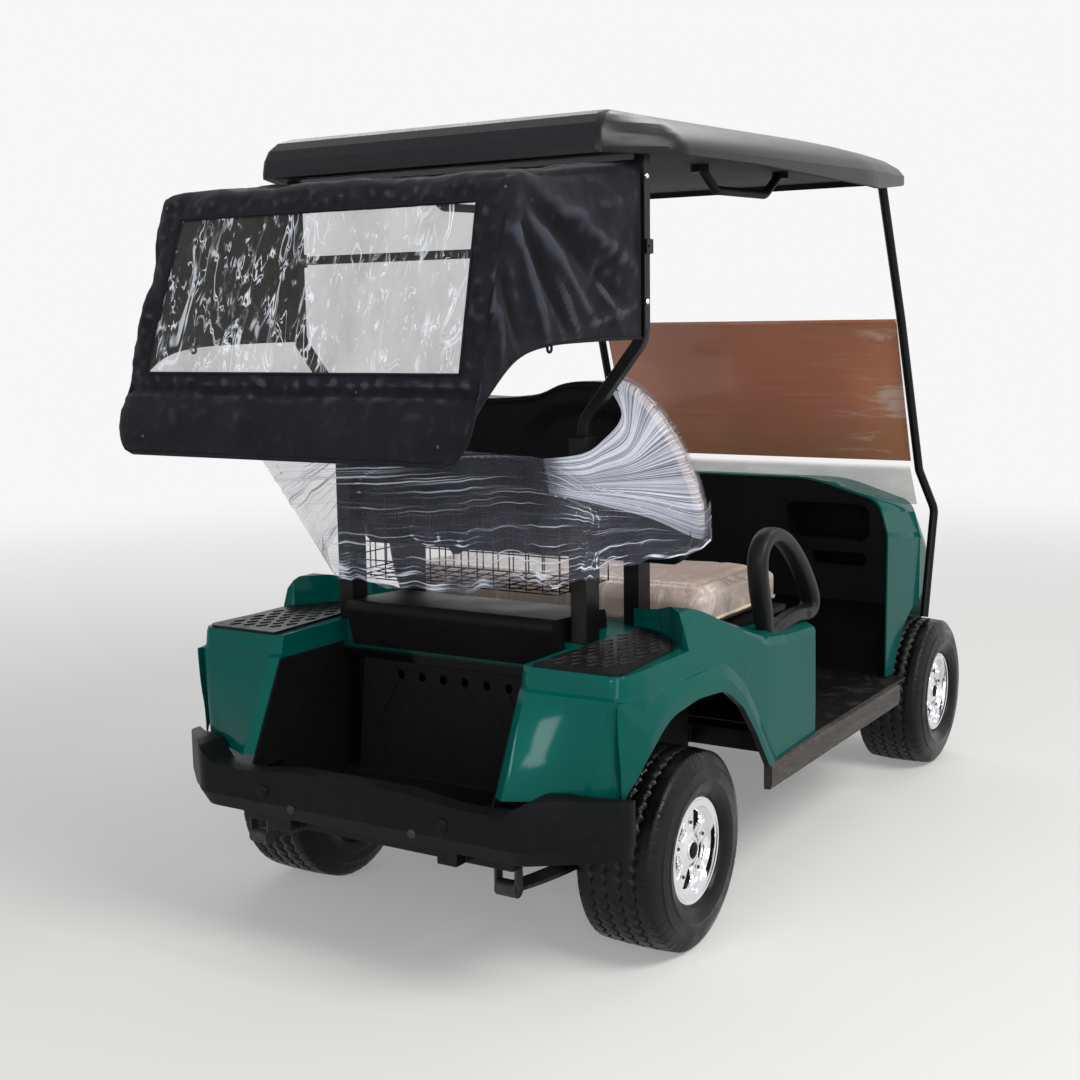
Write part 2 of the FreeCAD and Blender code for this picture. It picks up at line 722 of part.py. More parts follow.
def knuckleShape(side):
    """Fork, kingpin, spindle and steering arm of one front wheel."""
    x = side * KINGPIN_X
    low = armZ()
    earTop = TYRE_RADIUS + KNUCKLE_BOSS_HEIGHT / 2 + FLUSH_GAP
    pin = Vector(x, FRONT_AXLE_Y, low)
    hole = TIE_STUD_RADIUS + (PIN_GAP if side == LEFT else OPEN_PIN_GAP)
    pieces = [armPlate(x, low, KNUCKLE_EAR, hole)]
    top = Vector(x, FRONT_AXLE_Y, earTop)
    pieces.append(rod(top, top + Vector(0, 0, KNUCKLE_EAR), KNUCKLE_RADIUS))
    pieces.append(rod(pin, top + Vector(0, 0, KNUCKLE_EAR), KINGPIN_RADIUS))
    near = x + side * (KNUCKLE_RADIUS + 7)
    far = near + side * 10
    span = (FRONT_AXLE_Y - KNUCKLE_RADIUS, FRONT_AXLE_Y + KNUCKLE_RADIUS)
    pieces.append(block(sorted((near, far)), span, (low, earTop + KNUCKLE_EAR)))
    for z in (low, earTop):
        pieces.append(block(sorted((x, near + side)), span, (z, z + KNUCKLE_EAR)))
    spindle = Vector(near, FRONT_AXLE_Y, TYRE_RADIUS)
    end = Vector(side * hubFace(FRONT_TRACK), FRONT_AXLE_Y, TYRE_RADIUS)
    pieces.append(rod(spindle, end, SPINDLE_RADIUS))
    return joined(pieces)


def tieRodShape():
    """Bar below the steering arms with a stud up at each end and one down to the pitman arm."""
    z = armZ() - FLUSH_GAP - TIE_ROD_RADIUS - 2
    y = FRONT_AXLE_Y + STEER_ARM_LENGTH
    pieces = [rod(Vector(-KINGPIN_X, y, z), Vector(KINGPIN_X, y, z), TIE_ROD_RADIUS)]
    for x in (-KINGPIN_X, KINGPIN_X):
        pieces.append(rod(Vector(x, y, z - 9), Vector(x, y, z + 9), 11))
        pieces.append(rod(Vector(x, y, z), Vector(x, y, armZ() + KNUCKLE_EAR), TIE_STUD_RADIUS))
    pieces.append(rod(Vector(PITMAN_X, y, z - 9), Vector(PITMAN_X, y, z + 9), 11))
    low = z - 9 - FLUSH_GAP - PITMAN_THICK
    pieces.append(rod(Vector(PITMAN_X, y, z), Vector(PITMAN_X, y, low), TIE_STUD_RADIUS))
    return joined(pieces)


def pitmanShape():
    """Lever under the steering box that carries the middle of the tie rod."""
    low = armZ() - 2 * FLUSH_GAP - TIE_ROD_RADIUS - 11 - PITMAN_THICK
    lever = armPlate(PITMAN_X, low, PITMAN_THICK, TIE_STUD_RADIUS + OPEN_PIN_GAP)
    pin = Vector(PITMAN_X, FRONT_AXLE_Y, low)
    return joined([lever, rod(pin, pin + Vector(0, 0, 60), KINGPIN_RADIUS)])


def columnDirection():
    tilt = math.radians(COLUMN_TILT)
    return Vector(0, math.sin(tilt), math.cos(tilt))


def columnShape():
    """Steering column up from the toe wall, stopping short of the wheel's hub."""
    centre = Vector(WHEEL_X, WHEEL_Y, WHEEL_Z)
    up = columnDirection()
    top = centre - up * (22 + FLUSH_GAP)
    tube = rod(top - up * COLUMN_LENGTH, top, COLUMN_RADIUS)
    sleeve = rod(top - up * 150, top - up * 12, COLUMN_RADIUS + 12)
    wallY = FLOOR_FRONT_Y + TOE_WALL_THICK + FLUSH_GAP
    solid = joined([tube, sleeve])
    return solid.cut(block((0, 2 * WHEEL_X), (-2000, wallY), (0, 2000)))


def steeringWheelShape():
    """Rim, three spokes and a domed hub."""
    centre = Vector(WHEEL_X, WHEEL_Y, WHEEL_Z)
    up = columnDirection()
    side = Vector(1, 0, 0)
    near = up.cross(side)
    pieces = [Part.makeTorus(STEERING_RADIUS, STEERING_RIM, centre, up)]
    pieces.append(rod(centre - up * 22, centre + up * 14, 40))
    for degrees in (90, 210, 330):
        angle = math.radians(degrees)
        ray = side * math.cos(angle) - near * math.sin(angle)
        pieces.append(rod(centre, centre + ray * STEERING_RADIUS, 9))
    return joined(pieces)


# Chassis, floor and batteries

def chassisShape():
    """Two rails with cross members that carry the floor, springs and bumpers."""
    low = RAIL_TOP - RAIL_HEIGHT
    bumperBack = BUMPER_REAR_Y - BUMPER_WALL
    rearEnd = BUMPER_REAR_Y - BUMPER_SET
    frontEnd = NOSE_Y + FRONT_BUMPER_DEPTH
    tabLow = BUMPER_BOTTOM + BUMPER_TUCK_HEIGHT + 6
    pieces = []
    for side in (LEFT, RIGHT):
        x = (side * RAIL_X - RAIL_WIDTH / 2, side * RAIL_X + RAIL_WIDTH / 2)
        pieces.append(block(x, (frontEnd, rearEnd), (low, RAIL_TOP)))
        pieces.append(block(x, (rearEnd - 8, rearEnd), (low, BODY_SKIRT_Z - 40)))
        pieces.append(block(x, (rearEnd - 8, bumperBack), (tabLow, BODY_SKIRT_Z - 40)))
        pieces.append(block(x, (frontEnd, frontEnd + 8), (low, FRONT_BUMPER_TOP - 30)))
    reach = REAR_SPRING_X + SPRING_WIDTH / 2 + 3
    members = [
        # centre Y, half length
        (frontEnd + 40, RAIL_X),
        (FLOOR_FRONT_Y + 60, FLOOR_HALF_WIDTH - 30),
        (-360, FLOOR_HALF_WIDTH - 30),
        (0, FLOOR_HALF_WIDTH - 30),
        (REAR_AXLE_Y - REAR_SPRING_HALF, reach),
        (REAR_AXLE_Y + REAR_SPRING_HALF, reach),
    ]
    for y, half in members:
        pieces.append(block((-half, half), (y - CROSS_WIDTH / 2, y + CROSS_WIDTH / 2), (low, RAIL_TOP)))
    return joined(pieces)


def floorShape():
    """Floor pan with raised ribs along the cart."""
    pan = block((-FLOOR_HALF_WIDTH, FLOOR_HALF_WIDTH), (FLOOR_FRONT_Y, FLOOR_REAR_Y), (RAIL_TOP, FLOOR_Z))
    pitch = 2 * (COWL_HALF_WIDTH - 60) / (FLOOR_RIBS - 1)
    ribs = []
    for index in range(FLOOR_RIBS):
        x = (index - (FLOOR_RIBS - 1) / 2) * pitch
        ribs.append(block((x - FLOOR_RIB_WIDTH / 2, x + FLOOR_RIB_WIDTH / 2),
                          (FLOOR_FRONT_Y + 40, BODY_FRONT_Y - 20), (FLOOR_Z, FLOOR_Z + FLOOR_RIB_HEIGHT)))
    return joined([pan] + ribs)


def rockerShape():
    """Sill panel that hooks over the edge of the floor."""
    inner = FLOOR_HALF_WIDTH
    outer = inner + ROCKER_THICK
    profile = [(inner, ROCKER_BOTTOM), (outer - 4, ROCKER_BOTTOM, 5), (outer, ROCKER_BOTTOM + 18, 6),
               (outer, ROCKER_TOP, 6), (inner, ROCKER_TOP)]
    return alongY(profile, ROCKER_FRONT_Y, ROCKER_REAR_Y)


def batteryShape():
    return block((-BATTERY_HALF_WIDTH, BATTERY_HALF_WIDTH),
                 (BATTERY_FRONT_Y, BATTERY_FRONT_Y + BATTERY_LENGTH),
                 (RAIL_TOP, RAIL_TOP + BATTERY_HEIGHT))


# Rear body

def bodyBlock(inset):
    """Solid within the body's skin, inset from it by a wall."""
    wires = []
    front = BODY_FRONT_Y + inset
    for z, wellY, cornerInset, cornerY, radius, sideInset in BODY_LEVELS:
        cornerX = BODY_HALF_WIDTH - cornerInset - inset
        side = BODY_HALF_WIDTH - sideInset - inset
        points = symmetric([
            (WELL_HALF_WIDTH, wellY - WELL_BEVEL_Y - inset),
            (WELL_HALF_WIDTH + WELL_BEVEL_X, wellY - inset),
            (cornerX, cornerY - inset, radius),
            (side, cornerY - 75, 90),
            (side - 1, 300),
            (side - 8, front, 20),
        ])
        wires.append(outline(points, lambda x, y, z=z: Vector(x, y, z)))
    return Part.makeLoft(wires, True, True)


def sideProfile(drop):
    """Outline in (y, z) under the top of the side rails and humps, lowered by a drop."""
    points = [(y, z - drop, radius) for y, z, radius in SIDE_TOP]
    return points + [(SIDE_TOP[-1][0], 0), (SIDE_TOP[0][0], 0)]


def underSideTop(inset):
    """Solid under the side rails and humps, rounded down towards both sides."""
    sections = [(BODY_HALF_WIDTH - out - inset, drop + inset) for out, drop in SIDE_ROUND]
    sections = sections + [(-x, drop) for x, drop in reversed(sections)]
    wires = [outline(sideProfile(drop), lambda y, z, x=x: Vector(x, y, z)) for x, drop in sections]
    return Part.makeLoft(wires, True, True)


def archFlare():
    """Band that rounds the left body side out to the lip of the rear wheel arch."""
    wires = []
    for inset, size in FLARE:
        points = [(REAR_AXLE_Y + (y - REAR_AXLE_Y) * size, TYRE_RADIUS + (z - TYRE_RADIUS) * size, radius * size)
                  for y, z, radius in ARCH]
        wires.append(outline(points, lambda y, z, x=BODY_HALF_WIDTH - inset: Vector(x, y, z)))
    below = block((0, 2 * BODY_HALF_WIDTH), (BODY_FRONT_Y, REAR_AXLE_Y * 2), (BODY_BOTTOM, STEP_Z - 6))
    return Part.makeLoft(wires, True, True).common(below).common(bodyBlock(-BODY_WALL * 2))


def matFront(shift):
    """Curved front edge of the left step mat, moved back by shift."""
    return [(x, y + shift, radius) for x, y, radius in MAT_EDGE]


def bodyFilled(inset):
    """Rear body as a solid inside its skin: rails, humps and pods round the decks and the seat."""
    solid = bodyBlock(inset).common(underSideTop(inset))
    edge = matFront(-inset)
    behind = edge + [(edge[-1][0], 1400)]
    behind = behind + [(-x, y) + tuple(rest) for x, y, *rest in reversed(behind)]
    solid = solid.cut(alongZ(behind, DECK_Z - inset, 1000))
    between = edge[0][0] + inset
    solid = solid.cut(block((-between, between), (SEAT_WELL_REAR_Y - 50, 1400), (DECK_Z - inset, 1000)))
    half = SEAT_HALF_WIDTH + SEAT_WELL_GAP + inset
    return solid.cut(block((-half, half), (-300, SEAT_WELL_REAR_Y + inset), (SEAT_DECK_Z - inset, 1000)))


def rearBodyShape():
    """Moulded shell: side rails, humps, flared arches, pods and the rim of the bag well."""
    flare = archFlare().cut(bodyBlock(BODY_WALL))
    full = joined([bodyFilled(0), flare, mirrored(flare)])
    sill = block(ACROSS, (-300, 1400), (0, BODY_BOTTOM))
    skirt = block(ACROSS, (880, 1400), (0, BODY_SKIRT_Z))
    full = full.cut(sill).cut(skirt)
    shell = full.cut(bodyFilled(BODY_WALL))
    inner = WELL_HALF_WIDTH + BODY_WALL
    cheeks = full.common(block((-inner, inner), (WELL_FRONT_Y - BODY_WALL, 1400), (0, 1000)))
    cheeks = cheeks.cut(block((-inner, inner), (0, WELL_FRONT_Y), (0, STRIP_LOW)))
    shell = joined([shell, cheeks])
    shell = shell.cut(block((-WELL_HALF_WIDTH, WELL_HALF_WIDTH), (WELL_FRONT_Y, 1400), (0, 1000)))
    hatch = SEAT_HALF_WIDTH - HATCH_INSET
    shell = shell.cut(block((-hatch, hatch), (HATCH_FRONT_Y, HATCH_REAR_Y), (SEAT_DECK_Z - 60, 1000)))
    for side in (LEFT, RIGHT):
        reach = sorted((side * (WELL_HALF_WIDTH + 11), side * BEYOND))
        shell = shell.cut(alongX(ARCH, *reach))
    strip = block((-WELL_HALF_WIDTH, WELL_HALF_WIDTH), (WELL_FRONT_Y, WELL_FRONT_Y + STRIP_DEPTH),
                  (STRIP_LOW, STRIP_HIGH))
    hinges = [hingeBarrel(side, True) for side in (LEFT, RIGHT)]
    return joined([shell, strip] + hinges)


def hingeBarrel(side, fixed):
    """One leaf of a seat hinge: the outer barrels on the body, or the pin and its tab on the seat."""
    def tube(low, high, radius):
        return rod(Vector(side * (HINGE_X + low), HINGE_Y, HINGE_Z),
                   Vector(side * (HINGE_X + high), HINGE_Y, HINGE_Z), radius)
    half = HINGE_LENGTH / 2
    if fixed:
        x = sorted((side * (HINGE_X - half), side * (HINGE_X + half)))
        arm = block(x, (HINGE_Y, BODY_FRONT_Y + 2), (HINGE_Z - HINGE_RADIUS, HINGE_Z + 2))
        return joined([tube(-half, half, HINGE_RADIUS), arm]).cut(tube(-half - 1, half + 1, HINGE_PIN + PIN_GAP))
    inner = -half - FLUSH_GAP - HINGE_LENGTH
    outer = half + FLUSH_GAP
    pieces = [tube(inner, outer + HINGE_LENGTH, HINGE_PIN)]
    for low in (inner, outer):
        x = sorted((side * (HINGE_X + low), side * (HINGE_X + low + HINGE_LENGTH)))
        pieces.append(tube(low, low + HINGE_LENGTH, HINGE_RADIUS))
        pieces.append(block(x, (HINGE_Y - HINGE_RADIUS, HINGE_Y), (HINGE_Z, SEAT_DECK_Z + FLUSH_GAP + 3)))
    return joined(pieces)


def matShape():
    """Tread mat on one pod, inside the edge of the deck."""
    edge = matFront(MAT_INSET)[1:4]
    inner = POST_X + POST_WIDTH / 2 + 4
    deckY, cornerInset = BODY_LEVELS[5][1:3]
    cornerX = BODY_HALF_WIDTH - cornerInset - MAT_INSET
    rear = deckY - MAT_INSET
    points = [(inner + 22, MAT_EDGE[0][1] + MAT_INSET, 6), *edge[:2],
              (edge[2][0] - 2 * MAT_INSET, edge[2][1] + 6, 12),
              (cornerX, rear, 24), (inner, rear, 6)]
    return alongZ(points, DECK_Z, DECK_Z + MAT_THICK)


def linerShape():
    """Bag well: floor, side walls with pockets and a sloping back wall with vent holes."""
    wall = LINER_WALL
    half = WELL_HALF_WIDTH - FLUSH_GAP
    top = DECK_Z - BAND_HEIGHT
    backTop = WELL_FRONT_Y + STRIP_DEPTH
    low = RAIL_TOP
    pocketY = backTop - POCKET_DEPTH
    floor = block((-half, half), (pocketY, WELL_FLOOR_REAR_Y), (low, low + wall))
    skirtY = BODY_LEVELS[1][1] - WELL_BEVEL_Y
    topY = BODY_LEVELS[2][1] - WELL_BEVEL_Y
    slope = (skirtY - topY) / (top - BODY_SKIRT_Z)
    rearEdge = [(pocketY, low), (skirtY + slope * (BODY_SKIRT_Z - low), low), (topY, top), (pocketY, top)]
    sides = [alongX(rearEdge, *sorted((side * half, side * (half - wall)))) for side in (LEFT, RIGHT)]
    back = [(backTop, STRIP_LOW - FLUSH_GAP), (backTop + LINER_SLOPE, low), (backTop + LINER_SLOPE - wall, low),
            (backTop - wall, STRIP_LOW - FLUSH_GAP)]
    wallPlate = alongX(back, -POCKET_X, POCKET_X)
    for index in range(VENT_COUNT):
        x = (index - (VENT_COUNT - 1) / 2) * VENT_PITCH
        wallPlate = wallPlate.cut(rod(Vector(x, backTop - 40, VENT_Z), Vector(x, backTop + 60, VENT_Z), VENT_RADIUS))
    pieces = [floor, wallPlate] + sides
    stripLow = STRIP_LOW - FLUSH_GAP
    for side in (LEFT, RIGHT):
        cheek = [(pocketY, low), (backTop + LINER_SLOPE, low), (backTop, stripLow), (pocketY, stripLow)]
        pieces.append(alongX(cheek, *sorted((side * POCKET_X, side * (POCKET_X - wall)))))
        x = sorted((side * (POCKET_X - wall), side * half))
        pieces.append(block(x, (pocketY, pocketY + wall), (low, stripLow)))
    liner = joined(pieces)
    return liner.cut(block(ACROSS, (0, WELL_FRONT_Y + STRIP_DEPTH + FLUSH_GAP), (stripLow, 1000)))


def boxCoverShape():
    """Moulded cover between the posts that closes the front of the bag well."""
    deck = DECK_Z
    lip = WELL_FRONT_Y + STRIP_DEPTH
    profile = [(BOX_FRONT_Y, deck), (BOX_FRONT_Y + 6, BOX_TOP_Z - 12, 14), (BOX_REAR_Y, BOX_TOP_Z, 20),
               (lip + 6, STRIP_HIGH + 1), (lip - STRIP_DEPTH + FLUSH_GAP, STRIP_HIGH + 1),
               (lip - STRIP_DEPTH + FLUSH_GAP, deck)]
    return alongX(profile, -BOX_HALF_WIDTH, BOX_HALF_WIDTH)


def bumperShape():
    """Wrap-round rear bumper: a skin with a top shelf, dipped beside the middle."""
    def filled(inset):
        wires = []
        for z, rear, cornerInset, sideInset in BUMPER_LEVELS:
            cornerX = BUMPER_HALF_WIDTH - cornerInset - inset / 2
            half = BUMPER_HALF_WIDTH - sideInset - inset
            points = symmetric([(cornerX, rear - inset, 60), (half, 1015, 50), (half, 800)])
            wires.append(outline(points, lambda x, y, z=z: Vector(x, y, z)))
        solid = Part.makeLoft(wires, True, True)
        roof = [(x, z - inset, radius) for x, z, radius in BUMPER_TOP] + [(BUMPER_TOP[-1][0], 0)]
        roof = roof + [(-x, z) + tuple(rest) for x, z, *rest in reversed(roof)]
        return solid.common(alongY(roof, 700, 1300))
    skin = filled(0).cut(filled(BUMPER_WALL))
    gap = BUMPER_BODY_GAP
    side = BODY_HALF_WIDTH
    front = [(0, 1106 + gap), (WELL_HALF_WIDTH, 1112 + gap), (side - 71 + gap, 1028 + gap, 50), (side + 6, 977, 10),
             (side + 60, 977), (side + 60, 600), (0, 600)]
    front = front + [(-x, y) + tuple(rest) for x, y, *rest in reversed(front[1:-1])]
    skin = skin.cut(alongZ(front, 0, 600))
    return skin.cut(block(ACROSS, (0, 1400), (0, BUMPER_BOTTOM)))


# Front end

def cowlFilled(inset):
    """Solid within the cowl's skin, from the dash to the nose."""
    wires = []
    for y, narrowed, crown, shoulder in COWL_SECTIONS:
        w = COWL_HALF_WIDTH - narrowed - inset
        points = symmetric([(w * 0.55, crown - inset - 10, 400), (w - 28, shoulder + 62 - inset, 60),
                            (w, shoulder - 40, 60), (w, 200)])
        wires.append(outline(points, lambda x, zz, y=y: Vector(x, y, zz)))
    return Part.makeLoft(wires, True, True)


def cowlShape():
    """Front body shell with the wheel arches and the lamp openings."""
    skin = cowlFilled(0).cut(cowlFilled(COWL_WALL).common(
        block(ACROSS, (NOSE_Y + COWL_WALL, 0), (0, 2000))))
    wheel = Vector(COWL_ARCH_INNER_X, FRONT_AXLE_Y, TYRE_RADIUS)
    band = Part.makeCylinder(COWL_ARCH_RADIUS + COWL_WALL, 400, wheel, Vector(1, 0, 0))
    cut = Part.makeCylinder(COWL_ARCH_RADIUS, 400, wheel - Vector(60, 0, 0), Vector(1, 0, 0))
    housing = cowlFilled(0).common(band)
    skin = joined([skin, housing, mirrored(housing)])
    skin = skin.cut(cut).cut(mirrored(cut))
    skin = skin.cut(block(ACROSS, (-3000, 0), (0, BODY_BOTTOM)))
    skin = skin.cut(block(ACROSS, (-3000, FRONT_AXLE_Y), (0, FRONT_BUMPER_TOP + FLUSH_GAP)))
    for side in (LEFT, RIGHT):
        lamp = Vector(side * LAMP_X, NOSE_Y - 10, LAMP_Z)
        skin = skin.cut(rod(lamp, lamp + Vector(0, 200, 0), LAMP_RADIUS + FLUSH_GAP))
    return skin


def lampShape():
    """Round headlamp that follows the nose."""
    front = Vector(LAMP_X, NOSE_Y - 10, LAMP_Z)
    body = rod(front, front + Vector(0, 150, 0), LAMP_RADIUS)
    return body.common(cowlFilled(0))


def dashShape():
    """Dash with its open bins, and the toe wall below it."""
    inner = cowlFilled(COWL_WALL + FLUSH_GAP)
    rear = COWL_REAR_Y - 4
    top = inner.common(block(ACROSS, (rear - DASH_DEPTH, rear), (DASH_BOTTOM_Z, 2000)))
    toeRear = FLOOR_FRONT_Y + TOE_WALL_THICK
    toe = inner.common(block(ACROSS, (FLOOR_FRONT_Y, toeRear), (FLOOR_Z, DASH_BOTTOM_Z + 1)))
    solid = joined([top, toe])
    for x0, x1, z0, z1, radius, depth in DASH_BINS:
        hole = [(x0, z0, radius), (x1, z0, radius), (x1, z1, radius), (x0, z1, radius)]
        solid = solid.cut(alongY(hole, rear - depth, rear + 10))
    return solid


def frontBumperShape():
    """Rounded front bumper bar, open behind."""
    def filled(inset):
        half = FRONT_BUMPER_HALF - inset
        rear = NOSE_Y + FRONT_BUMPER_DEPTH
        points = [(-half, rear), (-half, NOSE_Y + 24 + inset, 12), (-half + 90, NOSE_Y + inset, 80),
                  (half - 90, NOSE_Y + inset, 80), (half, NOSE_Y + 24 + inset, 12), (half, rear)]
        return alongZ(points, FRONT_BUMPER_BOTTOM + inset, FRONT_BUMPER_TOP - inset)
    hollow = filled(BUMPER_WALL).common(block(ACROSS, (-2000, NOSE_Y + FRONT_BUMPER_DEPTH - BUMPER_WALL), (0, 2000)))
    return filled(0).cut(hollow)


def pedalShape():
    """Brake and accelerator pads on arms from the toe wall."""
    wall = FLOOR_FRONT_Y + TOE_WALL_THICK + FLUSH_GAP
    pads = []
    for x, width in PEDALS:
        pad = [(wall + 60, 430), (wall + 68, 434), (wall + 30, 520), (wall + 22, 516)]
        arm = block((x - 8, x + 8), (wall, wall + 42), (470, 486))
        pads.append(joined([alongX(pad, x - width / 2, x + width / 2), arm]))
    return Part.makeCompound(pads)


# Seat

def seatCushionShape():
    """Bottom cushion."""
    low = SEAT_DECK_Z + FLUSH_GAP + SEAT_BOARD + FLUSH_GAP
    high = low + SEAT_THICK
    profile = [(SEAT_FRONT_Y + 12, low, 20), (SEAT_FRONT_Y, low + 40, 30), (SEAT_FRONT_Y + 30, high, 45),
               (SEAT_REAR_Y, high, 30), (SEAT_REAR_Y, low)]
    plan = [(-SEAT_HALF_WIDTH, SEAT_FRONT_Y, 60), (SEAT_HALF_WIDTH, SEAT_FRONT_Y, 60),
            (SEAT_HALF_WIDTH, SEAT_REAR_Y, 40), (-SEAT_HALF_WIDTH, SEAT_REAR_Y, 40)]
    return alongX(profile, -SEAT_HALF_WIDTH, SEAT_HALF_WIDTH).common(alongZ(plan, low - 10, high + 10))


def seatBoardShape():
    """Board under the cushion with its hinge leaves."""
    low = SEAT_DECK_Z + FLUSH_GAP
    half = SEAT_HALF_WIDTH - 12
    board = block((-half, half), (SEAT_FRONT_Y + 20, SEAT_REAR_Y - 10), (low, low + SEAT_BOARD))
    return joined([board] + [hingeBarrel(side, False) for side in (LEFT, RIGHT)])


def leaned(shape):
    """Tips a seat back, drawn upright at the origin, to its lean and place."""
    shape.rotate(Vector(0, 0, 0), Vector(1, 0, 0), -BACK_TILT)
    return shape.translated(Vector(0, BACK_FRONT_Y, BACK_Z))


def seatBackShape():
    """Back cushion with well rounded top corners."""
    half = BACK_HALF_WIDTH
    face = [(-half, 0, 70), (half, 0, 70), (half, BACK_HEIGHT * 0.62, 200), (half - 130, BACK_HEIGHT, 140),
            (-half + 130, BACK_HEIGHT, 140), (-half, BACK_HEIGHT * 0.62, 200)]
    return leaned(alongY(face, 0, BACK_THICK))


def seatShellShape():
    """Black moulded pan behind and under the back cushion, resting on the front posts."""
    half = BACK_HALF_WIDTH - 24
    high = BACK_HEIGHT - 26
    front = BACK_THICK + FLUSH_GAP
    face = [(-half, -BACK_SHELL_DROP, 60), (half, -BACK_SHELL_DROP, 60), (half, high * 0.6, 190),
            (half - 125, high, 130), (-half + 125, high, 130), (-half, high * 0.6, 190)]
    back = alongY(face, front, front + BACK_SHELL)
    sole = [(-half + 40, -BACK_SHELL_DROP, 20), (half - 40, -BACK_SHELL_DROP, 20),
            (half - 40, -FLUSH_GAP), (-half + 40, -FLUSH_GAP)]
    shelf = alongY(sole, BACK_THICK - 65, front + 1)
    solid = leaned(joined([back, shelf]))
    return solid.cut(block(ACROSS, (0, 1000), (0, postTop())))


def postTop():
    return BACK_Z - BACK_SHELL_DROP


def armrestShape():
    """Thick moulded loop beside the seat."""
    spots = [Vector(ARMREST_X, y, z) for y, z in ARMREST_LOOP]
    hoop = bentTube(spots, ARMREST_BEND, ARMREST_RADIUS)
    front = spots[-1] + Vector(0, 8, -3)
    bar = rod(front, Vector(ARMREST_X, spots[0].y - 14, spots[-1].z), ARMREST_BAR_RADIUS)
    return joined([hoop, bar]).cut(underSideTop(-FLUSH_GAP))


def frontPostShape():
    x = (POST_X - POST_WIDTH / 2, POST_X + POST_WIDTH / 2)
    y = (FRONT_POST_Y - POST_DEPTH / 2, FRONT_POST_Y + POST_DEPTH / 2)
    return block(x, y, (DECK_Z, postTop()))


def grille(place, width, height, depth):
    """Plate of crossed bars from the corner at place(0, 0), as deep as the vector depth."""
    def cell(low, high):
        return outline([low, (high[0], low[1]), high, (low[0], high[1])], place)
    columns = max(1, round(width / BASKET_PITCH))
    rows = max(1, round(height / BASKET_PITCH))
    across = (width - BASKET_BAR) / columns
    up = (height - BASKET_BAR) / rows
    wires = [cell((0, 0), (width, height))]
    for column in range(columns):
        for row in range(rows):
            low = (BASKET_BAR + column * across, BASKET_BAR + row * up)
            wires.append(cell(low, (low[0] + across - BASKET_BAR, low[1] + up - BASKET_BAR)))
    return Part.makeFace(wires, "Part::FaceMakerCheese").extrude(depth)


def basketShape():
    """Open-topped wire basket between the rear posts."""
    half = POST_X - POST_WIDTH / 2 - FLUSH_GAP
    depth = BASKET_REAR_Y - BASKET_FRONT_Y
    height = BASKET_HIGH_Z - BASKET_LOW_Z
    wall = BASKET_WALL
    plates = [grille(lambda x, y: Vector(x - half, BASKET_FRONT_Y + y, BASKET_LOW_Z), 2 * half, depth,
                     Vector(0, 0, wall))]
    for y in (BASKET_FRONT_Y, BASKET_REAR_Y - wall):
        plates.append(grille(lambda x, z, y=y: Vector(x - half, y, BASKET_LOW_Z + z), 2 * half, height,
                             Vector(0, wall, 0)))
    for x in (-half, half - wall):
        plates.append(grille(lambda y, z, x=x: Vector(x, BASKET_FRONT_Y + y, BASKET_LOW_Z + z), depth, height,
                             Vector(wall, 0, 0)))
    return joined(plates)


def filmShape():
    """Stretch film from the sides of the seat back round the posts and basket."""
    near = BACK_HALF_WIDTH + FLUSH_GAP
    rear = BASKET_REAR_Y + FLUSH_GAP
    side = POST_X + POST_WIDTH / 2 + FILM_POST_GAP
    thick = FILM_THICK
    line = symmetric([(near, FILM_FRONT_Y), (near, FILM_BEND_Y), (side, rear)])
    outer = symmetric([(near + thick, FILM_FRONT_Y), (near + thick, FILM_BEND_Y + 1), (side + 1, rear + thick)])
    band = alongZ(line + outer[::-1], 700, 1400)
    edges = {"post": POST_X + POST_WIDTH / 2, "back": BACK_HALF_WIDTH}
    face = symmetric([(edges[edge] + x, z) for edge, x, z in FILM_FACE])
    return band.common(alongY(face, 400, 900))


# Roof, its supports and the screen

def roofUnder(y):
    return ROOF_UNDER_Z + ROOF_UNDER_SLOPE * y


def aboveUnderside(gap):
    """Outline in (y, z) of all that is nearer to the roof's underside than a gap."""
    return [(1000, roofUnder(1000) - gap), (-1000, roofUnder(-1000) - gap), (-1000, 2000), (1000, 2000)]


def roofShape():
    """Moulded roof: sloping side bands up to a flat top, with a lip round a recessed underside."""
    wires = []
    for rearZ, frontZ, side, front, rear in ROOF_LEVELS:
        half = ROOF_HALF_WIDTH - side
        rearHalf = ROOF_REAR_HALF - side * 0.15
        rearY = ROOF_REAR_Y - rear
        frontY = ROOF_FRONT_Y + front
        slope = (rearZ - frontZ) / (rearY - frontY)
        points = symmetric([(rearHalf, rearY, 18), (half - 6, rearY - 170, 120), (half, frontY + 400, 900),
                            (half - 40, frontY, 60)])
        wires.append(outline(points, lambda x, y, z=frontZ, s=slope, f=frontY: Vector(x, y, z + s * (y - f))))
    solid = Part.makeLoft(wires, True, True)
    above = ROOF_LIP + [(ROOF_LIP[-1][0], 2000), (ROOF_LIP[0][0], 2000)]
    solid = solid.common(alongX(above, *ACROSS))
    half = ROOF_HALF_WIDTH - ROOF_EDGE
    recess = symmetric([(ROOF_REAR_HALF - 12, ROOF_REAR_Y - 40, 20), (half - 6, ROOF_REAR_Y - 190, 100),
                        (half, ROOF_FRONT_Y + 400, 600), (half - 40, ROOF_FRONT_Y + ROOF_EDGE, 40)])
    low = alongZ(recess, 1600, 1900).common(
        alongX([(1000, 1600), (-1000, 1600), (-1000, roofUnder(-1000)), (1000, roofUnder(1000))], *ACROSS))
    return solid.cut(low)


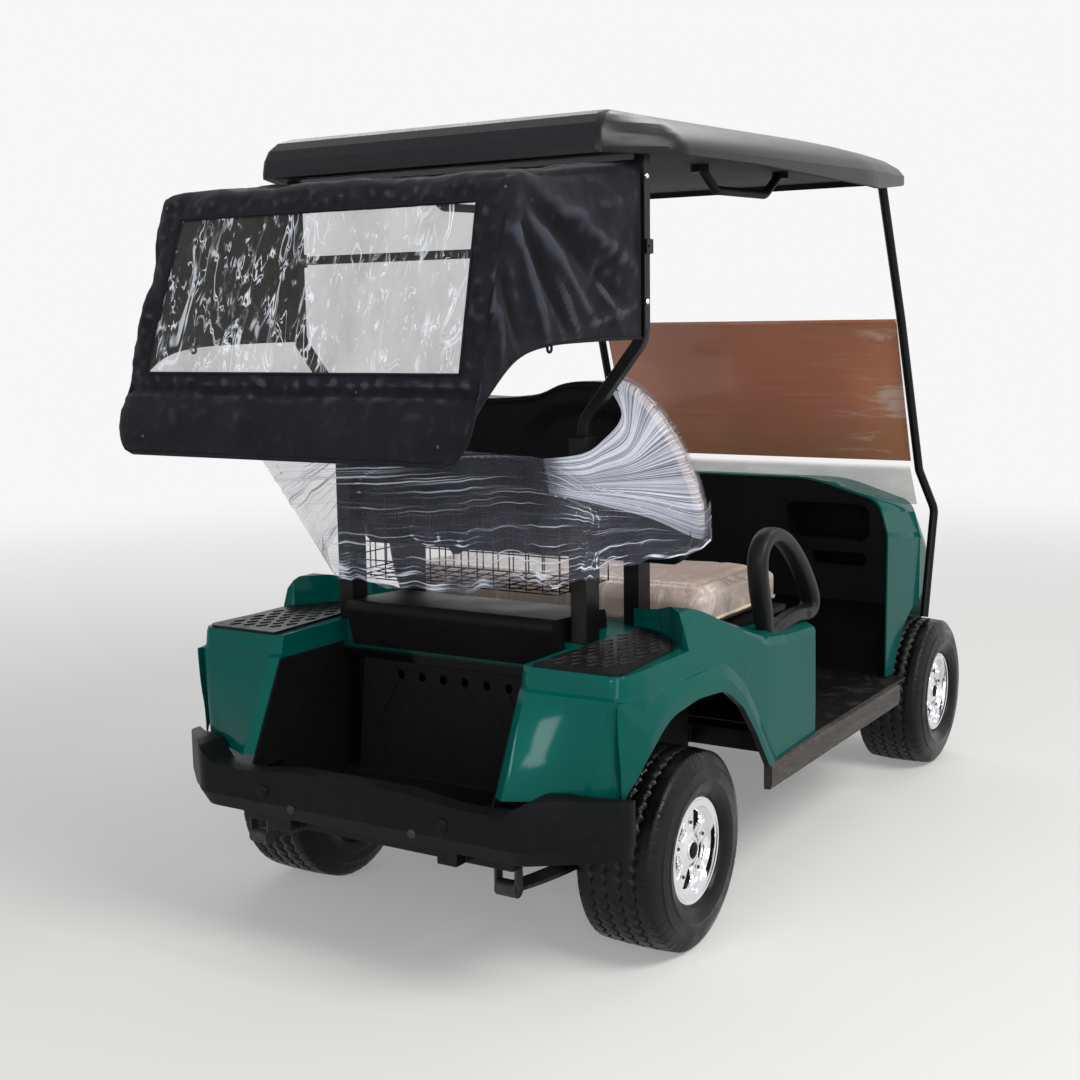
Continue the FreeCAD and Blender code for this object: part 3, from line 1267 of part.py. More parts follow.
def roofHandleShape():
    """Grab handle under one side of the roof."""
    x = HANDLE_X
    rear, front = [Vector(x, y, roofUnder(y) - HANDLE_FOOT_SINK) for y in HANDLE_FEET_Y]
    grip = [Vector(x, y, z) for y, z in HANDLE_GRIP]
    pieces = [bentTube([rear, *grip, front], HANDLE_BEND, HANDLE_RADIUS)]
    up = Vector(0, 0, HANDLE_FOOT_HALF)
    for foot in (rear, front):
        pieces.append(rod(foot - up, foot + up, HANDLE_FOOT_RADIUS))
    return joined(pieces).cut(alongX(aboveUnderside(FLUSH_GAP), 0, BEYOND))


def strutTop():
    return roofUnder(STRUT_Y + STRUT_SIZE / 2) - FLUSH_GAP


def rearFrameShape():
    """Posts on the deck, roof struts bent out from them, and the bar across."""
    pieces = []
    for side in (LEFT, RIGHT):
        x = side * POST_X
        pieces.append(block((x - POST_WIDTH / 2, x + POST_WIDTH / 2),
                            (STRUT_Y + 5 - POST_DEPTH / 2, STRUT_Y + 5 + POST_DEPTH / 2), (DECK_Z, POST_TOP_Z)))
        spots = [Vector(x, STRUT_Y, POST_TOP_Z - 40), Vector(x, STRUT_Y, POST_TOP_Z + 30),
                 Vector(side * STRUT_X, STRUT_Y, STRUT_BEND_Z - 10), Vector(side * STRUT_X, STRUT_Y, strutTop())]
        pieces.append(bentTube(spots, 60, (STRUT_SIZE, STRUT_SIZE)))
        clamp = CROSSBAR_SIZE / 2 + 5
        pieces.append(block(sorted((side * (STRUT_X - 18), side * (STRUT_X + 18))),
                            (STRUT_Y - 18, STRUT_Y + STRUT_SIZE / 2), (CROSSBAR_Z - clamp, CROSSBAR_Z + clamp)))
    pieces.append(block((-STRUT_X, STRUT_X), (STRUT_Y - CROSSBAR_SIZE / 2, STRUT_Y + CROSSBAR_SIZE / 2),
                        (CROSSBAR_Z - CROSSBAR_SIZE / 2, CROSSBAR_Z + CROSSBAR_SIZE / 2)))
    return joined(pieces)


def screenY(z):
    """Y of the screen struts' centre line at a height."""
    for (lowY, lowZ), (highY, highZ) in zip(SCREEN_LINE, SCREEN_LINE[1:]):
        if z <= highZ:
            return lowY + (highY - lowY) * (z - lowZ) / (highZ - lowZ)
    return SCREEN_LINE[-1][0]


def screenStrutShape():
    """Front roof strut: down the edge of the screen and on to the side of the cowl."""
    outside = COWL_HALF_WIDTH + SCREEN_STRUT_RADIUS + FLUSH_GAP
    x = SCREEN_STRUT_X
    spots = [Vector(x - 9, *SCREEN_LINE[3]), Vector(x, *SCREEN_LINE[2]), Vector(x + 8, *SCREEN_LINE[1]),
             Vector(outside, -1092, 800), Vector(outside, -1012, 470)]
    tube = bentTube(spots, 45, SCREEN_STRUT_RADIUS)
    tube = tube.cut(alongX(aboveUnderside(FLUSH_GAP), 0, BEYOND))
    return tube.cut(cowlFilled(-FLUSH_GAP))


def pane(low, shift):
    """Flat pane on the screen line, shifted forward, down to a height."""
    thick = SCREEN_THICK
    heights = [z for z in (low, PANE_BEND_Z, SCREEN_TOP_Z) if z >= low]
    line = [(screenY(z) - shift, z) for z in heights]
    back = [(y + thick, z) for y, z in reversed(line)]
    return alongX(line + back, -SCREEN_HALF_WIDTH, SCREEN_HALF_WIDTH)


def lowerPaneShape():
    """Clear pane that stands on the cowl between the struts."""
    return pane(PANE_LOW_Z, 0).cut(cowlFilled(-FLUSH_GAP))


def foldedPaneShape():
    """Upper pane, folded down in front of the lower one, with its hinge strip."""
    shift = SCREEN_THICK + FOLD_GAP
    sheet = pane(FOLD_LOW_Z, shift)
    y = screenY(SCREEN_TOP_Z)
    strip = block((-SCREEN_HALF_WIDTH, SCREEN_HALF_WIDTH), (y - shift, y + SCREEN_THICK),
                  (SCREEN_TOP_Z + FLUSH_GAP, SCREEN_TOP_Z + FOLD_STRIP))
    neck = block((-SCREEN_HALF_WIDTH, SCREEN_HALF_WIDTH), (y - shift, y - FOLD_GAP),
                 (SCREEN_TOP_Z - 2, SCREEN_TOP_Z + 2))
    return joined([sheet, strip, neck])


# Bag cover

def hoodRear(z):
    """Y of the cover's leaning rear face at a height."""
    return HOOD_HEM_Y - (HOOD_HEM_Y - HOOD_TOP_Y) * (z - HOOD_HEM_Z) / (HOOD_TOP_Z - HOOD_HEM_Z)


def hoodFilled(inset):
    """Solid within the cover's fabric, from the struts to the leaning rear face."""
    half = HOOD_FRONT_HALF - inset
    rearHalf = HOOD_REAR_HALF - inset
    low = HOOD_HEM_Z - 41
    high = HOOD_FRONT_Z - inset
    rearHigh = HOOD_TOP_Z - inset
    front = STRUT_Y + STRUT_SIZE / 2 + FLUSH_GAP - (50 if inset else 0)
    first = [(-half, low), (-half, high, 30), (half, high, 30), (half, low)]
    last = [(-rearHalf, low), (-rearHalf, rearHigh, 45), (rearHalf, rearHigh, 45), (rearHalf, low)]
    return Part.makeLoft([outline(first, lambda x, z: Vector(x, front, z)),
                          outline(last, lambda x, z: Vector(x, hoodRear(z) - inset, z))], True, True)


def hoodShape():
    """Fabric cover stretched back from the struts over the bags, open below and in front."""
    solid = hoodFilled(0).cut(hoodFilled(HOOD_WALL))
    below = HOOD_EDGE + [(HOOD_EDGE[-1][0], 1000), (HOOD_EDGE[0][0], 1000)]
    solid = solid.cut(alongX(below, *ACROSS))
    solid = solid.cut(block(ACROSS, (600, 1500), (1000, HOOD_HEM_Z)))
    for side in (LEFT, RIGHT):
        outer = side * (HOOD_CORNER_HALF + 71)
        flap = [(side * HOOD_HEM_HALF, HOOD_HEM_Z - 11), (side * HOOD_CORNER_HALF, HOOD_CORNER_Z, 20),
                (outer, HOOD_CORNER_Z), (outer, HOOD_HEM_Z - 11)]
        solid = solid.cut(alongY(flap, 1200, 1500))
    return solid.cut(hoodWindow(0, 60))


def hoodWindow(clearance, thick):
    """Slanted slab where the rear window is."""
    half = WINDOW_HALF_WIDTH - clearance
    face = [(-half, WINDOW_LOW_Z + clearance, 14), (half, WINDOW_LOW_Z + clearance, 14),
            (half - WINDOW_TAPER, WINDOW_HIGH_Z - clearance, 14),
            (-half + WINDOW_TAPER, WINDOW_HIGH_Z - clearance, 14)]
    offset = WINDOW_SET if thick == WINDOW_THICK else -thick / 2
    wires = [outline(face, lambda x, z: Vector(x, hoodRear(z) - offset, z)),
             outline(face, lambda x, z: Vector(x, hoodRear(z) - offset - thick, z))]
    return Part.makeLoft(wires, True, True)


def main():
    saveWheels()
    save("knuckle_l", knuckleShape(LEFT))
    save("knuckle_r", knuckleShape(RIGHT))
    save("tie_rod", tieRodShape())
    save("pitman_arm", pitmanShape())
    save("rear_axle", rearAxleShape())
    save("rear_springs", pair(rearSpringShape()))
    save("front_axle", frontAxleShape())
    save("steering_column", columnShape())
    save("steering_wheel", steeringWheelShape())
    save("chassis", chassisShape())
    save("floor_pan", floorShape())
    save("rockers", pair(rockerShape()))
    save("battery_pack", batteryShape())
    save("rear_body", rearBodyShape())
    save("step_mats", pair(matShape()))
    save("bag_well", linerShape())
    save("box_cover", boxCoverShape())
    save("rear_bumper", bumperShape())
    save("front_cowl", cowlShape())
    save("headlamps", pair(lampShape()))
    save("dash", dashShape())
    save("front_bumper", frontBumperShape())
    save("pedals", pedalShape())
    save("seat_cushion", seatCushionShape())
    save("seat_board", seatBoardShape())
    save("seat_back", seatBackShape())
    save("seat_shell", seatShellShape())
    save("armrests", pair(armrestShape()))
    save("front_posts", pair(frontPostShape()))
    save("rear_frame", rearFrameShape())
    save("basket", basketShape())
    save("seat_film", filmShape())
    save("roof", roofShape())
    save("roof_handles", pair(roofHandleShape()))
    save("screen_struts", pair(screenStrutShape()))
    save("screen_lower", lowerPaneShape())
    save("screen_folded", foldedPaneShape())
    save("bag_cover", hoodShape())
    save("cover_window", hoodWindow(FLUSH_GAP, WINDOW_THICK))


main()
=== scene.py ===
import math

import bmesh
import bpy
from mathutils import Matrix, Vector, noise
from mathutils.bvhtree import BVHTree
from mathutils.kdtree import KDTree


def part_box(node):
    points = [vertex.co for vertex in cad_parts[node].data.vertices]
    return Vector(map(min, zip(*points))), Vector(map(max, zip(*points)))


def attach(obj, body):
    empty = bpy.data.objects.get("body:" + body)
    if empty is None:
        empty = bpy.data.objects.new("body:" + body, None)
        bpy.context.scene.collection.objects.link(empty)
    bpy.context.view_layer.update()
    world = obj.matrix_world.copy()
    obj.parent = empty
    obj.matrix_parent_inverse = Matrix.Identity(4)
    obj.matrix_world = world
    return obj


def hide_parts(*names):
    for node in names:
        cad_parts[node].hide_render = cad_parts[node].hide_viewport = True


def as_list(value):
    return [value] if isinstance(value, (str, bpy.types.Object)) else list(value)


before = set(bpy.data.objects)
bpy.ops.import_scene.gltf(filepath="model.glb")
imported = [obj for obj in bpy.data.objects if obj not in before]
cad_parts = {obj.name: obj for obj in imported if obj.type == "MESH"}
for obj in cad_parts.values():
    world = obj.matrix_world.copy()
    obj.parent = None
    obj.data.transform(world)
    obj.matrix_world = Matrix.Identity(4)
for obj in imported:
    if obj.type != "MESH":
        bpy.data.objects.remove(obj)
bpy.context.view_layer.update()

print("frame loaded:", len(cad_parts), "nodes")


# Shader maths: a Wire is a socket, and sums or products on it add the nodes

class Wire:
    def __init__(self, finish, socket):
        self.finish = finish
        self.socket = socket

    def maths(self, operation, first, second):
        vector = any(isinstance(w, Wire) and w.socket.type in ("VECTOR", "RGBA") for w in (first, second))
        kind = "ShaderNodeVectorMath" if vector else "ShaderNodeMath"
        return self.finish.add(kind, {"operation": operation}, [first, second])

    def __add__(self, other):
        return self.maths("ADD", self, other)

    def __radd__(self, other):
        return self.maths("ADD", other, self)

    def __sub__(self, other):
        return self.maths("SUBTRACT", self, other)

    def __rsub__(self, other):
        return self.maths("SUBTRACT", other, self)

    def __mul__(self, other):
        return self.maths("MULTIPLY", self, other)

    def __rmul__(self, other):
        return self.maths("MULTIPLY", other, self)

    def step(self, low, high, bottom=0.0, top=1.0):  # smooth rise from bottom to top between low and high
        ends = {"Value": self, "From Min": low, "From Max": high, "To Min": bottom, "To Max": top}
        return self.finish.add("ShaderNodeMapRange", {"interpolation_type": "SMOOTHSTEP"}, ends)

    def sine(self):
        return self.finish.add("ShaderNodeMath", {"operation": "SINE"}, [self])

    def size(self):
        return self.finish.add("ShaderNodeMath", {"operation": "ABSOLUTE"}, [self])

    def greatest(self, other):
        return self.maths("MAXIMUM", self, other)


class Finish:  # one material, or the world, while it is put together
    def __init__(self, name, made=None):
        self.made = made or bpy.data.materials.new(name)
        self.made.use_nodes = True
        self.tree = self.made.node_tree
        self.tree.nodes.clear()
        self.place = self.add("ShaderNodeTexCoord", {}, {}, "Object")

    def add(self, kind, settings, inputs, output=0):
        node = self.tree.nodes.new(kind)
        for key, value in settings.items():
            setattr(node, key, value)
        pairs = inputs.items() if isinstance(inputs, dict) else enumerate(inputs)
        for key, value in pairs:
            socket = node.inputs[key]
            if isinstance(value, Wire):
                self.tree.links.new(value.socket, socket)
            elif socket.type == "RGBA" and len(value) == 3:
                socket.default_value = (*value, 1)
            elif socket.type == "VECTOR" and not hasattr(value, "__len__"):
                socket.default_value = (value,) * 3
            else:
                socket.default_value = value
        return Wire(self, node.outputs[output]) if len(node.outputs) else None

    def noise(self, scale, detail=3.0, stretch=(1, 1, 1), roughness=0.5, twist=0.0):
        place = self.add("ShaderNodeMapping", {}, {"Vector": self.place, "Scale": stretch})
        return self.add("ShaderNodeTexNoise", {}, {"Vector": place, "Scale": scale, "Detail": detail,
                                                   "Roughness": roughness, "Distortion": twist})

    def cells(self, scale):
        return self.add("ShaderNodeTexVoronoi", {}, {"Vector": self.place, "Scale": scale}, "Distance")

    def axis(self, name):
        return self.add("ShaderNodeSeparateXYZ", {}, [self.place], name)

    def facing(self, name):  # one axis of the way that the surface looks
        normal = self.add("ShaderNodeNewGeometry", {}, {}, "Normal")
        return self.add("ShaderNodeSeparateXYZ", {}, [normal], name)

    def layer(self, name):  # a value that the mesh holds at each point
        return self.add("ShaderNodeAttribute", {"attribute_name": name}, {}, "Fac")

    def layers(self, color, *coats):  # further colours laid over the first, each by an amount from 0 to 1
        for amount, coat in coats:
            color = self.add("ShaderNodeMix", {"data_type": "RGBA"}, {0: amount, 6: color, 7: coat}, 2)
        return color

    def bump(self, height, distance, strength=0.5):
        return self.add("ShaderNodeBump", {}, {"Height": height, "Distance": distance, "Strength": strength})

    def surface(self, **sockets):  # Base_Color=..., Roughness=... with _ for the spaces
        named = {key.replace("_", " "): value for key, value in sockets.items()}
        shader = self.add("ShaderNodeBsdfPrincipled", {}, named)
        self.add("ShaderNodeOutputMaterial", {}, {"Surface": shader})
        return self.made


# Finishes

def greenPaint():
    paint = Finish("green_paint")
    x, y, z = (paint.axis(name) for name in "XYZ")
    dust = paint.noise(24, 5.0, roughness=0.65).step(0.5, 0.8) * z.step(0.62, 0.36)
    # painted shade: the body's inner faces, and its insides seen through openings low down, are painted near
    # black where shade falls
    inside = x.size().step(0.52, 0.5) * z.step(0.62, 0.6) * y.step(0.82, 0.8) * y.step(0.1, 0.12)
    inwardShade = (paint.facing("X") * x).step(-0.04, -0.12).greatest(paint.facing("Y").step(0.4, 0.6))
    inwardShade = inwardShade * z.step(0.64, 0.62) * y.step(0.82, 0.8)
    inside = inside.greatest(inwardShade * y.step(-0.2, -0.18))
    color = paint.layers((0.0002, 0.064, 0.052), (paint.noise(3.5, 2.0), (0.0004, 0.094, 0.08)),
                         (paint.noise(900, 1.0).step(0.52, 0.75) * 0.3, (0.004, 0.17, 0.13)),
                         (dust * 0.12, (0.07, 0.075, 0.06)), (inside, (0.003, 0.003, 0.0032)))
    rough = 0.3 + paint.noise(60, 4.0).step(0.45, 0.75) * 0.06 + dust * 0.25 + inside * 0.4
    return paint.surface(Base_Color=color, Roughness=rough, Metallic=0.1, Coat_Weight=0.36,
                         Coat_Roughness=0.08, Coat_IOR=1.35, Specular_IOR_Level=0.0,
                         Normal=paint.bump(paint.noise(11, 1.0), 0.0015))


def mouldedPlastic(name, color, grain=700.0, depth=0.0004, shine=0.5, dusty=0.25):
    plastic = Finish(name)
    patch = plastic.noise(7, 4.0, roughness=0.6)
    dust = plastic.noise(34, 6.0, roughness=0.7).step(0.48, 0.78) * dusty
    tone = plastic.layers(color, (patch.step(0.3, 0.7) * 0.5, tuple(c * 1.5 for c in color)),
                          (dust, tuple(min(1.0, c * 2.6 + 0.02) for c in color)))
    rough = shine + patch.step(0.35, 0.7) * 0.1 + dust * 0.4
    return plastic.surface(Base_Color=tone, Roughness=rough, IOR=1.17,
                           Normal=plastic.bump(plastic.noise(grain, 2.0), depth, 0.6))


def roofShell():
    shell = Finish("roof_plastic")
    patch = shell.noise(6, 4.0, roughness=0.6)
    dust = shell.noise(30, 6.0, roughness=0.7).step(0.5, 0.78)
    # painted shade: faces that look down are painted darker
    shadedUnder = shell.facing("Z").step(-0.25, -0.6)
    tone = shell.layers((0.005, 0.0054, 0.0078), (patch.step(0.3, 0.7) * 0.5, (0.0085, 0.009, 0.0125)),
                        (dust * 0.07, (0.06, 0.06, 0.062)), (shadedUnder, (0.0035, 0.0036, 0.004)))
    rough = 0.3 + patch.step(0.35, 0.7) * 0.04 + dust * 0.06 + shadedUnder * 0.4
    return shell.surface(Base_Color=tone, Roughness=rough, IOR=1.3,
                         Normal=shell.bump(shell.noise(520, 2.0), 0.0004))


def powderSteel(name, color, rough):
    steel = Finish(name)
    patch = steel.noise(13, 4.0)
    tone = steel.layers(color, (patch.step(0.4, 0.8) * 0.5, tuple(c * 2.0 + 0.004 for c in color)))
    return steel.surface(Base_Color=tone, Roughness=rough + patch * 0.15, IOR=1.22, Coat_Weight=0.1,
                         Coat_Roughness=0.2, Normal=steel.bump(steel.noise(420, 2.0), 0.0003, 0.4))


def greasySteel():
    steel = Finish("dark_steel")
    patch = steel.noise(18, 6.0, roughness=0.65)
    rust = steel.noise(46, 5.0, roughness=0.7).step(0.6, 0.75)
    tone = steel.layers((0.018, 0.018, 0.019), (patch.step(0.35, 0.75), (0.075, 0.072, 0.068)),
                        (rust * 0.5, (0.11, 0.05, 0.024)))
    return steel.surface(Base_Color=tone, Roughness=0.42 + patch * 0.35, Metallic=0.55,
                         Normal=steel.bump(patch, 0.0008))


def chromePlate():
    chrome = Finish("chrome")
    smear = chrome.noise(30, 4.0)
    tone = chrome.layers((0.86, 0.87, 0.89), (smear.step(0.5, 0.8) * 0.4, (0.68, 0.69, 0.71)))
    return chrome.surface(Base_Color=tone, Roughness=0.05 + smear.step(0.45, 0.8) * 0.12, Metallic=1.0)


def tyreRubber():
    rubber = Finish("tyre_rubber")
    fine = rubber.noise(260, 3.0)
    wet = rubber.noise(9, 4.0, roughness=0.6)
    tone = rubber.layers((0.0032, 0.0032, 0.0036), (wet.step(0.4, 0.75), (0.0085, 0.0085, 0.0095)))
    return rubber.surface(Base_Color=tone, Roughness=0.2 + wet.step(0.35, 0.7) * 0.34 + fine * 0.06, IOR=1.28,
                          Normal=rubber.bump(fine, 0.0005))


def ribbedRubber(name, color):
    rubber = Finish(name)
    dirt = rubber.noise(20, 6.0, roughness=0.7).step(0.5, 0.75)
    tone = rubber.layers(color, (dirt * 0.35, (0.085, 0.075, 0.06)))
    return rubber.surface(Base_Color=tone, Roughness=0.45 + dirt * 0.35, IOR=1.25,
                          Normal=rubber.bump(rubber.noise(520, 2.0), 0.0003))


def gripRubber():
    grip = Finish("grip_rubber")
    patch = grip.noise(16, 3.0)
    tone = grip.layers((0.0045, 0.0045, 0.005), (patch, (0.01, 0.01, 0.011)))
    return grip.surface(Base_Color=tone, Roughness=0.36 + patch * 0.16, IOR=1.3,
                        Normal=grip.bump(grip.noise(800, 2.0), 0.0004))


def seatVinyl(name, color, wrap):  # wrap: how much pulled film lies on it, and how strong its painted film highlights are
    vinyl = Finish(name)
    soft = vinyl.noise(6, 3.0)
    sweep = vinyl.noise(3.2, 5.0, stretch=(2.6, 1.0, 2.0), roughness=0.6, twist=0.9)
    # painted highlights: pale streaks of pulled film, also raised a little by the bump
    threadHighlight = (sweep * 62.0).sine().step(0.6, 1.0) * vinyl.noise(5.5, 2.0).step(0.42, 0.62) * 0.55
    pulledHighlight = vinyl.noise(6.5, 7.0, stretch=(8.5, 1.3, 1.6), roughness=0.74, twist=0.45).step(0.5, 0.68)
    ridgeHighlight = threadHighlight.greatest(pulledHighlight)
    tone = vinyl.layers(color, (soft.step(0.3, 0.7), tuple(c * 0.86 for c in color)),
                        (ridgeHighlight * 0.62 * wrap, (0.86, 0.82, 0.8)))
    height = vinyl.cells(420) * 0.3 + ridgeHighlight * wrap * 1.2
    return vinyl.surface(Base_Color=tone, Roughness=0.4 - ridgeHighlight * 0.22 * wrap + soft * 0.08,
                         Coat_Weight=0.35 * wrap, Coat_Roughness=0.12, Normal=vinyl.bump(height, 0.0009))


def coverCanvas():
    canvas = Finish("cover_canvas")
    pitch = 2 * math.pi / 0.0016
    warp = ((canvas.axis("X") + canvas.axis("Y")) * pitch).sine()
    weave = (warp * (canvas.axis("Z") * pitch).sine()).size()
    crest = canvas.layer("crest")
    cloud = canvas.noise(8, 5.0, roughness=0.65)
    rub = canvas.noise(70, 5.0, stretch=(1, 1, 0.4), roughness=0.7).step(0.56, 0.74)
    # painted light: ridges of the folds are painted lighter as highlights, and hollows darker as shade
    high = crest.step(0.1, 1.3)
    tone = canvas.layers((0.003, 0.0034, 0.006), (cloud.step(0.35, 0.7), (0.0062, 0.0068, 0.011)),
                         (high * 0.75, (0.046, 0.049, 0.066)),
                         (crest.step(-0.1, -1.2) * 0.8, (0.001, 0.0011, 0.0016)),
                         (rub * 0.22, (0.045, 0.046, 0.052)))
    return canvas.surface(Base_Color=tone, Roughness=0.56 + cloud * 0.12 - high * 0.1, Sheen_Weight=0.03,
                          Sheen_Roughness=0.4, IOR=1.22, Normal=canvas.bump(weave + cloud * 2.0, 0.0004))


def clearVinyl():
    clear = Finish("clear_vinyl")
    haze = clear.noise(4.5, 4.0, stretch=(1.6, 1, 0.8), roughness=0.6)
    # painted highlights: pale patches and thin bright fold lines stand in for glints and reflections off the
    # wrinkles
    paintedHighlight = clear.noise(9.0, 3.0, stretch=(2.1, 1, 0.6), roughness=0.5, twist=1.2).step(0.62, 0.68) * 0.7
    for scale, width, tall in ((7.0, 0.012, 0.42), (15.0, 0.02, 0.5), (31.0, 0.03, 0.7)):
        fold = clear.noise(scale, 2.0, stretch=(1.9, 1, tall), roughness=0.45, twist=0.9)
        gate = clear.noise(scale * 0.8, 2.0, stretch=(1.3, 1, 0.8)).step(0.5, 0.64)
        paintedHighlight = paintedHighlight.greatest(((fold - 0.5).size() - 0.012).size().step(0.0, width, 1.0, 0.0) * gate)
    tone = clear.layers((0.055, 0.055, 0.05), (paintedHighlight, (0.8, 0.84, 0.92)))
    return clear.surface(Base_Color=tone, Roughness=0.06, Specular_IOR_Level=0.25,
                         Normal=clear.bump(haze, 0.002, 0.3),
                         Alpha=0.4 + haze.step(0.3, 0.75) * 0.18 + paintedHighlight * 0.4)


def stretchFilm(name, clearness, low, high):  # low and high: where the painted highlights of the streaks start and are full
    film = Finish(name)
    ridgeHighlight = film.layer("ridgeHighlight")
    # painted highlights: high ridge values turn the film pale and less clear
    paintedHighlight = ridgeHighlight.step(low, high)
    haze = film.noise(5.0, 4.0, roughness=0.65).step(0.3, 0.75)
    tone = film.layers((0.2, 0.21, 0.26), (paintedHighlight, (0.78, 0.82, 0.95)))
    alpha = (clearness + haze * 0.12 + paintedHighlight * (0.82 - clearness)) * (ridgeHighlight.step(-1.3, -0.7) * 0.92 + 0.08)
    return film.surface(Base_Color=tone, Roughness=0.25, Alpha=alpha, Specular_IOR_Level=0.25)


def clearAcrylic():
    acrylic = Finish("clear_acrylic")
    smear = acrylic.noise(5, 5.0, stretch=(1, 1, 2.4), roughness=0.65)
    dirt = 0.34 + smear.step(0.3, 0.7) * 0.16 + acrylic.cells(60).step(0.12, 0.05) * 0.25
    tone = acrylic.layers((0.5, 0.49, 0.46), (smear, (0.74, 0.73, 0.7)))
    cover = 0.03 + acrylic.axis("Z").step(0.945, 0.925) * dirt
    return acrylic.surface(Base_Color=tone, Roughness=0.1, Alpha=cover,
                           Specular_IOR_Level=0.3, Normal=acrylic.bump(smear, 0.001, 0.3))


def maskedAcrylic():
    masked = Finish("masked_acrylic")
    x, z = masked.axis("X"), masked.axis("Z")
    grain = masked.noise(6, 6.0, stretch=(0.5, 1, 7.0), roughness=0.65)
    # painted highlights: pale threads towards negative x stand in for glints of film over the screen
    threadHighlight = masked.noise(2.6, 7.0, stretch=(1.0, 1, 7.0), roughness=0.7, twist=0.8).step(0.56, 0.68)
    tone = masked.layers((0.38, 0.125, 0.064), (masked.noise(2.2, 2.0).step(0.35, 0.7), (0.52, 0.19, 0.1)),
                         (grain.step(0.5, 0.72) * 0.3, (0.5, 0.26, 0.16)),
                         (z.step(1.12, 0.96) * 0.5, (0.36, 0.15, 0.055)),
                         (x.step(-0.3, -0.46) * 0.4, (0.42, 0.17, 0.06)),
                         (threadHighlight * x.step(-0.16, -0.46) * 0.36, (0.8, 0.74, 0.7)))
    return masked.surface(Base_Color=tone, Roughness=0.2 + grain * 0.1, Coat_Weight=0.7, Coat_Roughness=0.05,
                          Normal=masked.bump(grain, 0.0006, 0.4))


def lampLens():
    lens = Finish("lamp_lens")
    flutes = (lens.axis("X") * (2 * math.pi / 0.007)).sine()
    tone = lens.layers((0.2, 0.21, 0.22), (lens.noise(25, 4.0), (0.42, 0.43, 0.45)))
    return lens.surface(Base_Color=tone, Roughness=0.08, Metallic=0.6, Coat_Weight=1.0, Coat_Roughness=0.02,
                        Normal=lens.bump(flutes, 0.0006))


def rockerTrim():
    trim = Finish("rocker_trim")
    speck = trim.noise(120, 5.0, stretch=(1, 0.25, 1.4), roughness=0.7)
    long = trim.noise(26, 4.0, stretch=(1, 0.12, 1.6))
    tone = trim.layers((0.016, 0.013, 0.012), (speck.step(0.42, 0.66), (0.065, 0.05, 0.044)),
                       (long.step(0.5, 0.7) * 0.4, (0.1, 0.078, 0.068)))
    return trim.surface(Base_Color=tone, Roughness=0.5 + speck * 0.2,
                        Normal=trim.bump(speck + long, 0.0012, 0.6))


finishes = {
    "paint": greenPaint(),
    "black": mouldedPlastic("black_plastic", (0.0045, 0.0045, 0.0052), 600, 0.0005, 0.42, 0.08),
    "bumper": mouldedPlastic("bumper_plastic", (0.0045, 0.0048, 0.0056), 480, 0.0006, 0.42, 0.12),
    "dash": mouldedPlastic("dash_plastic", (0.004, 0.004, 0.0048), 650, 0.0005, 0.4, 0.05),
    "well": mouldedPlastic("well_plastic", (0.004, 0.004, 0.0045), 380, 0.0007, 0.55, 0.1),
    "roof": roofShell(),
    "rocker": rockerTrim(),
    "steel": powderSteel("black_steel", (0.0035, 0.0035, 0.004), 0.28),
    "castSteel": greasySteel(),
    "chrome": chromePlate(),
    "tyre": tyreRubber(),
    "floorMat": ribbedRubber("floor_mat", (0.005, 0.005, 0.0056)),
    "stepMat": ribbedRubber("step_mat", (0.0045, 0.0045, 0.0055)),
    "grip": gripRubber(),
    "vinyl": seatVinyl("seat_vinyl", (0.56, 0.42, 0.32), 0.35),
    "wrappedVinyl": seatVinyl("wrapped_vinyl", (0.5, 0.39, 0.345), 1.0),
    "piping": seatVinyl("seat_piping", (0.74, 0.6, 0.48), 0.2),
    "blackVinyl": mouldedPlastic("black_vinyl", (0.004, 0.004, 0.0045), 850, 0.0003, 0.32, 0.05),
    "canvas": coverCanvas(),
    "window": clearVinyl(),
    "film": stretchFilm("stretch_film", 0.13, 0.05, 0.62),
    "fan": stretchFilm("gathered_film", 0.5, -0.3, 0.6),
    "acrylic": clearAcrylic(),
    "masked": maskedAcrylic(),
    "lens": lampLens(),
}
print("finishes made:", len(finishes))


# Helpers

def between(low, high, share):
    return low + (high - low) * share


def clamp(value):
    return max(0.0, min(1.0, value))


def bell(away, width):
    return math.exp(-(away / width) ** 2)


def stations(stops, counts):  # places from stop to stop, evenly spread in each stretch
    places = []
    for start, end, count in zip(stops, stops[1:], counts):
        places += [between(start, end, index / count) for index in range(count)]
    return places + [stops[-1]]


def ripple(*place):  # smooth noise at x, y and z
    return noise.noise(Vector(place))


def placed(name, data):
    item = bpy.data.objects.new(name, data)
    bpy.context.scene.collection.objects.link(item)
    return item


def plainMesh(name, points, faces):
    mesh = bpy.data.meshes.new(name)
    mesh.from_pydata([tuple(p) for p in points], [], faces)
    mesh.update()
    return mesh


def settle(piece, materials, slot, body="root", stands=None, smooth=True):
    piece.data.materials.clear()
    for used in materials.split():
        piece.data.materials.append(finishes[used])
    piece.data.polygons.foreach_set("use_smooth", [smooth] * len(piece.data.polygons))
    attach(piece, body)
    if stands:
        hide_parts(stands)
    return piece


def meshPiece(name, shape, materials, slot, body="root", stands=None, smooth=True):
    mesh = plainMesh(name, *shape)
    mesh.validate()
    return settle(placed(name, mesh), materials, slot, body, stands, smooth)


def joined(shapes):  # several points-and-faces pairs as one
    points, faces = [], []
    for spots, sheet in shapes:
        faces += [tuple(index + len(points) for index in face) for face in sheet]
        points += spots
    return points, faces


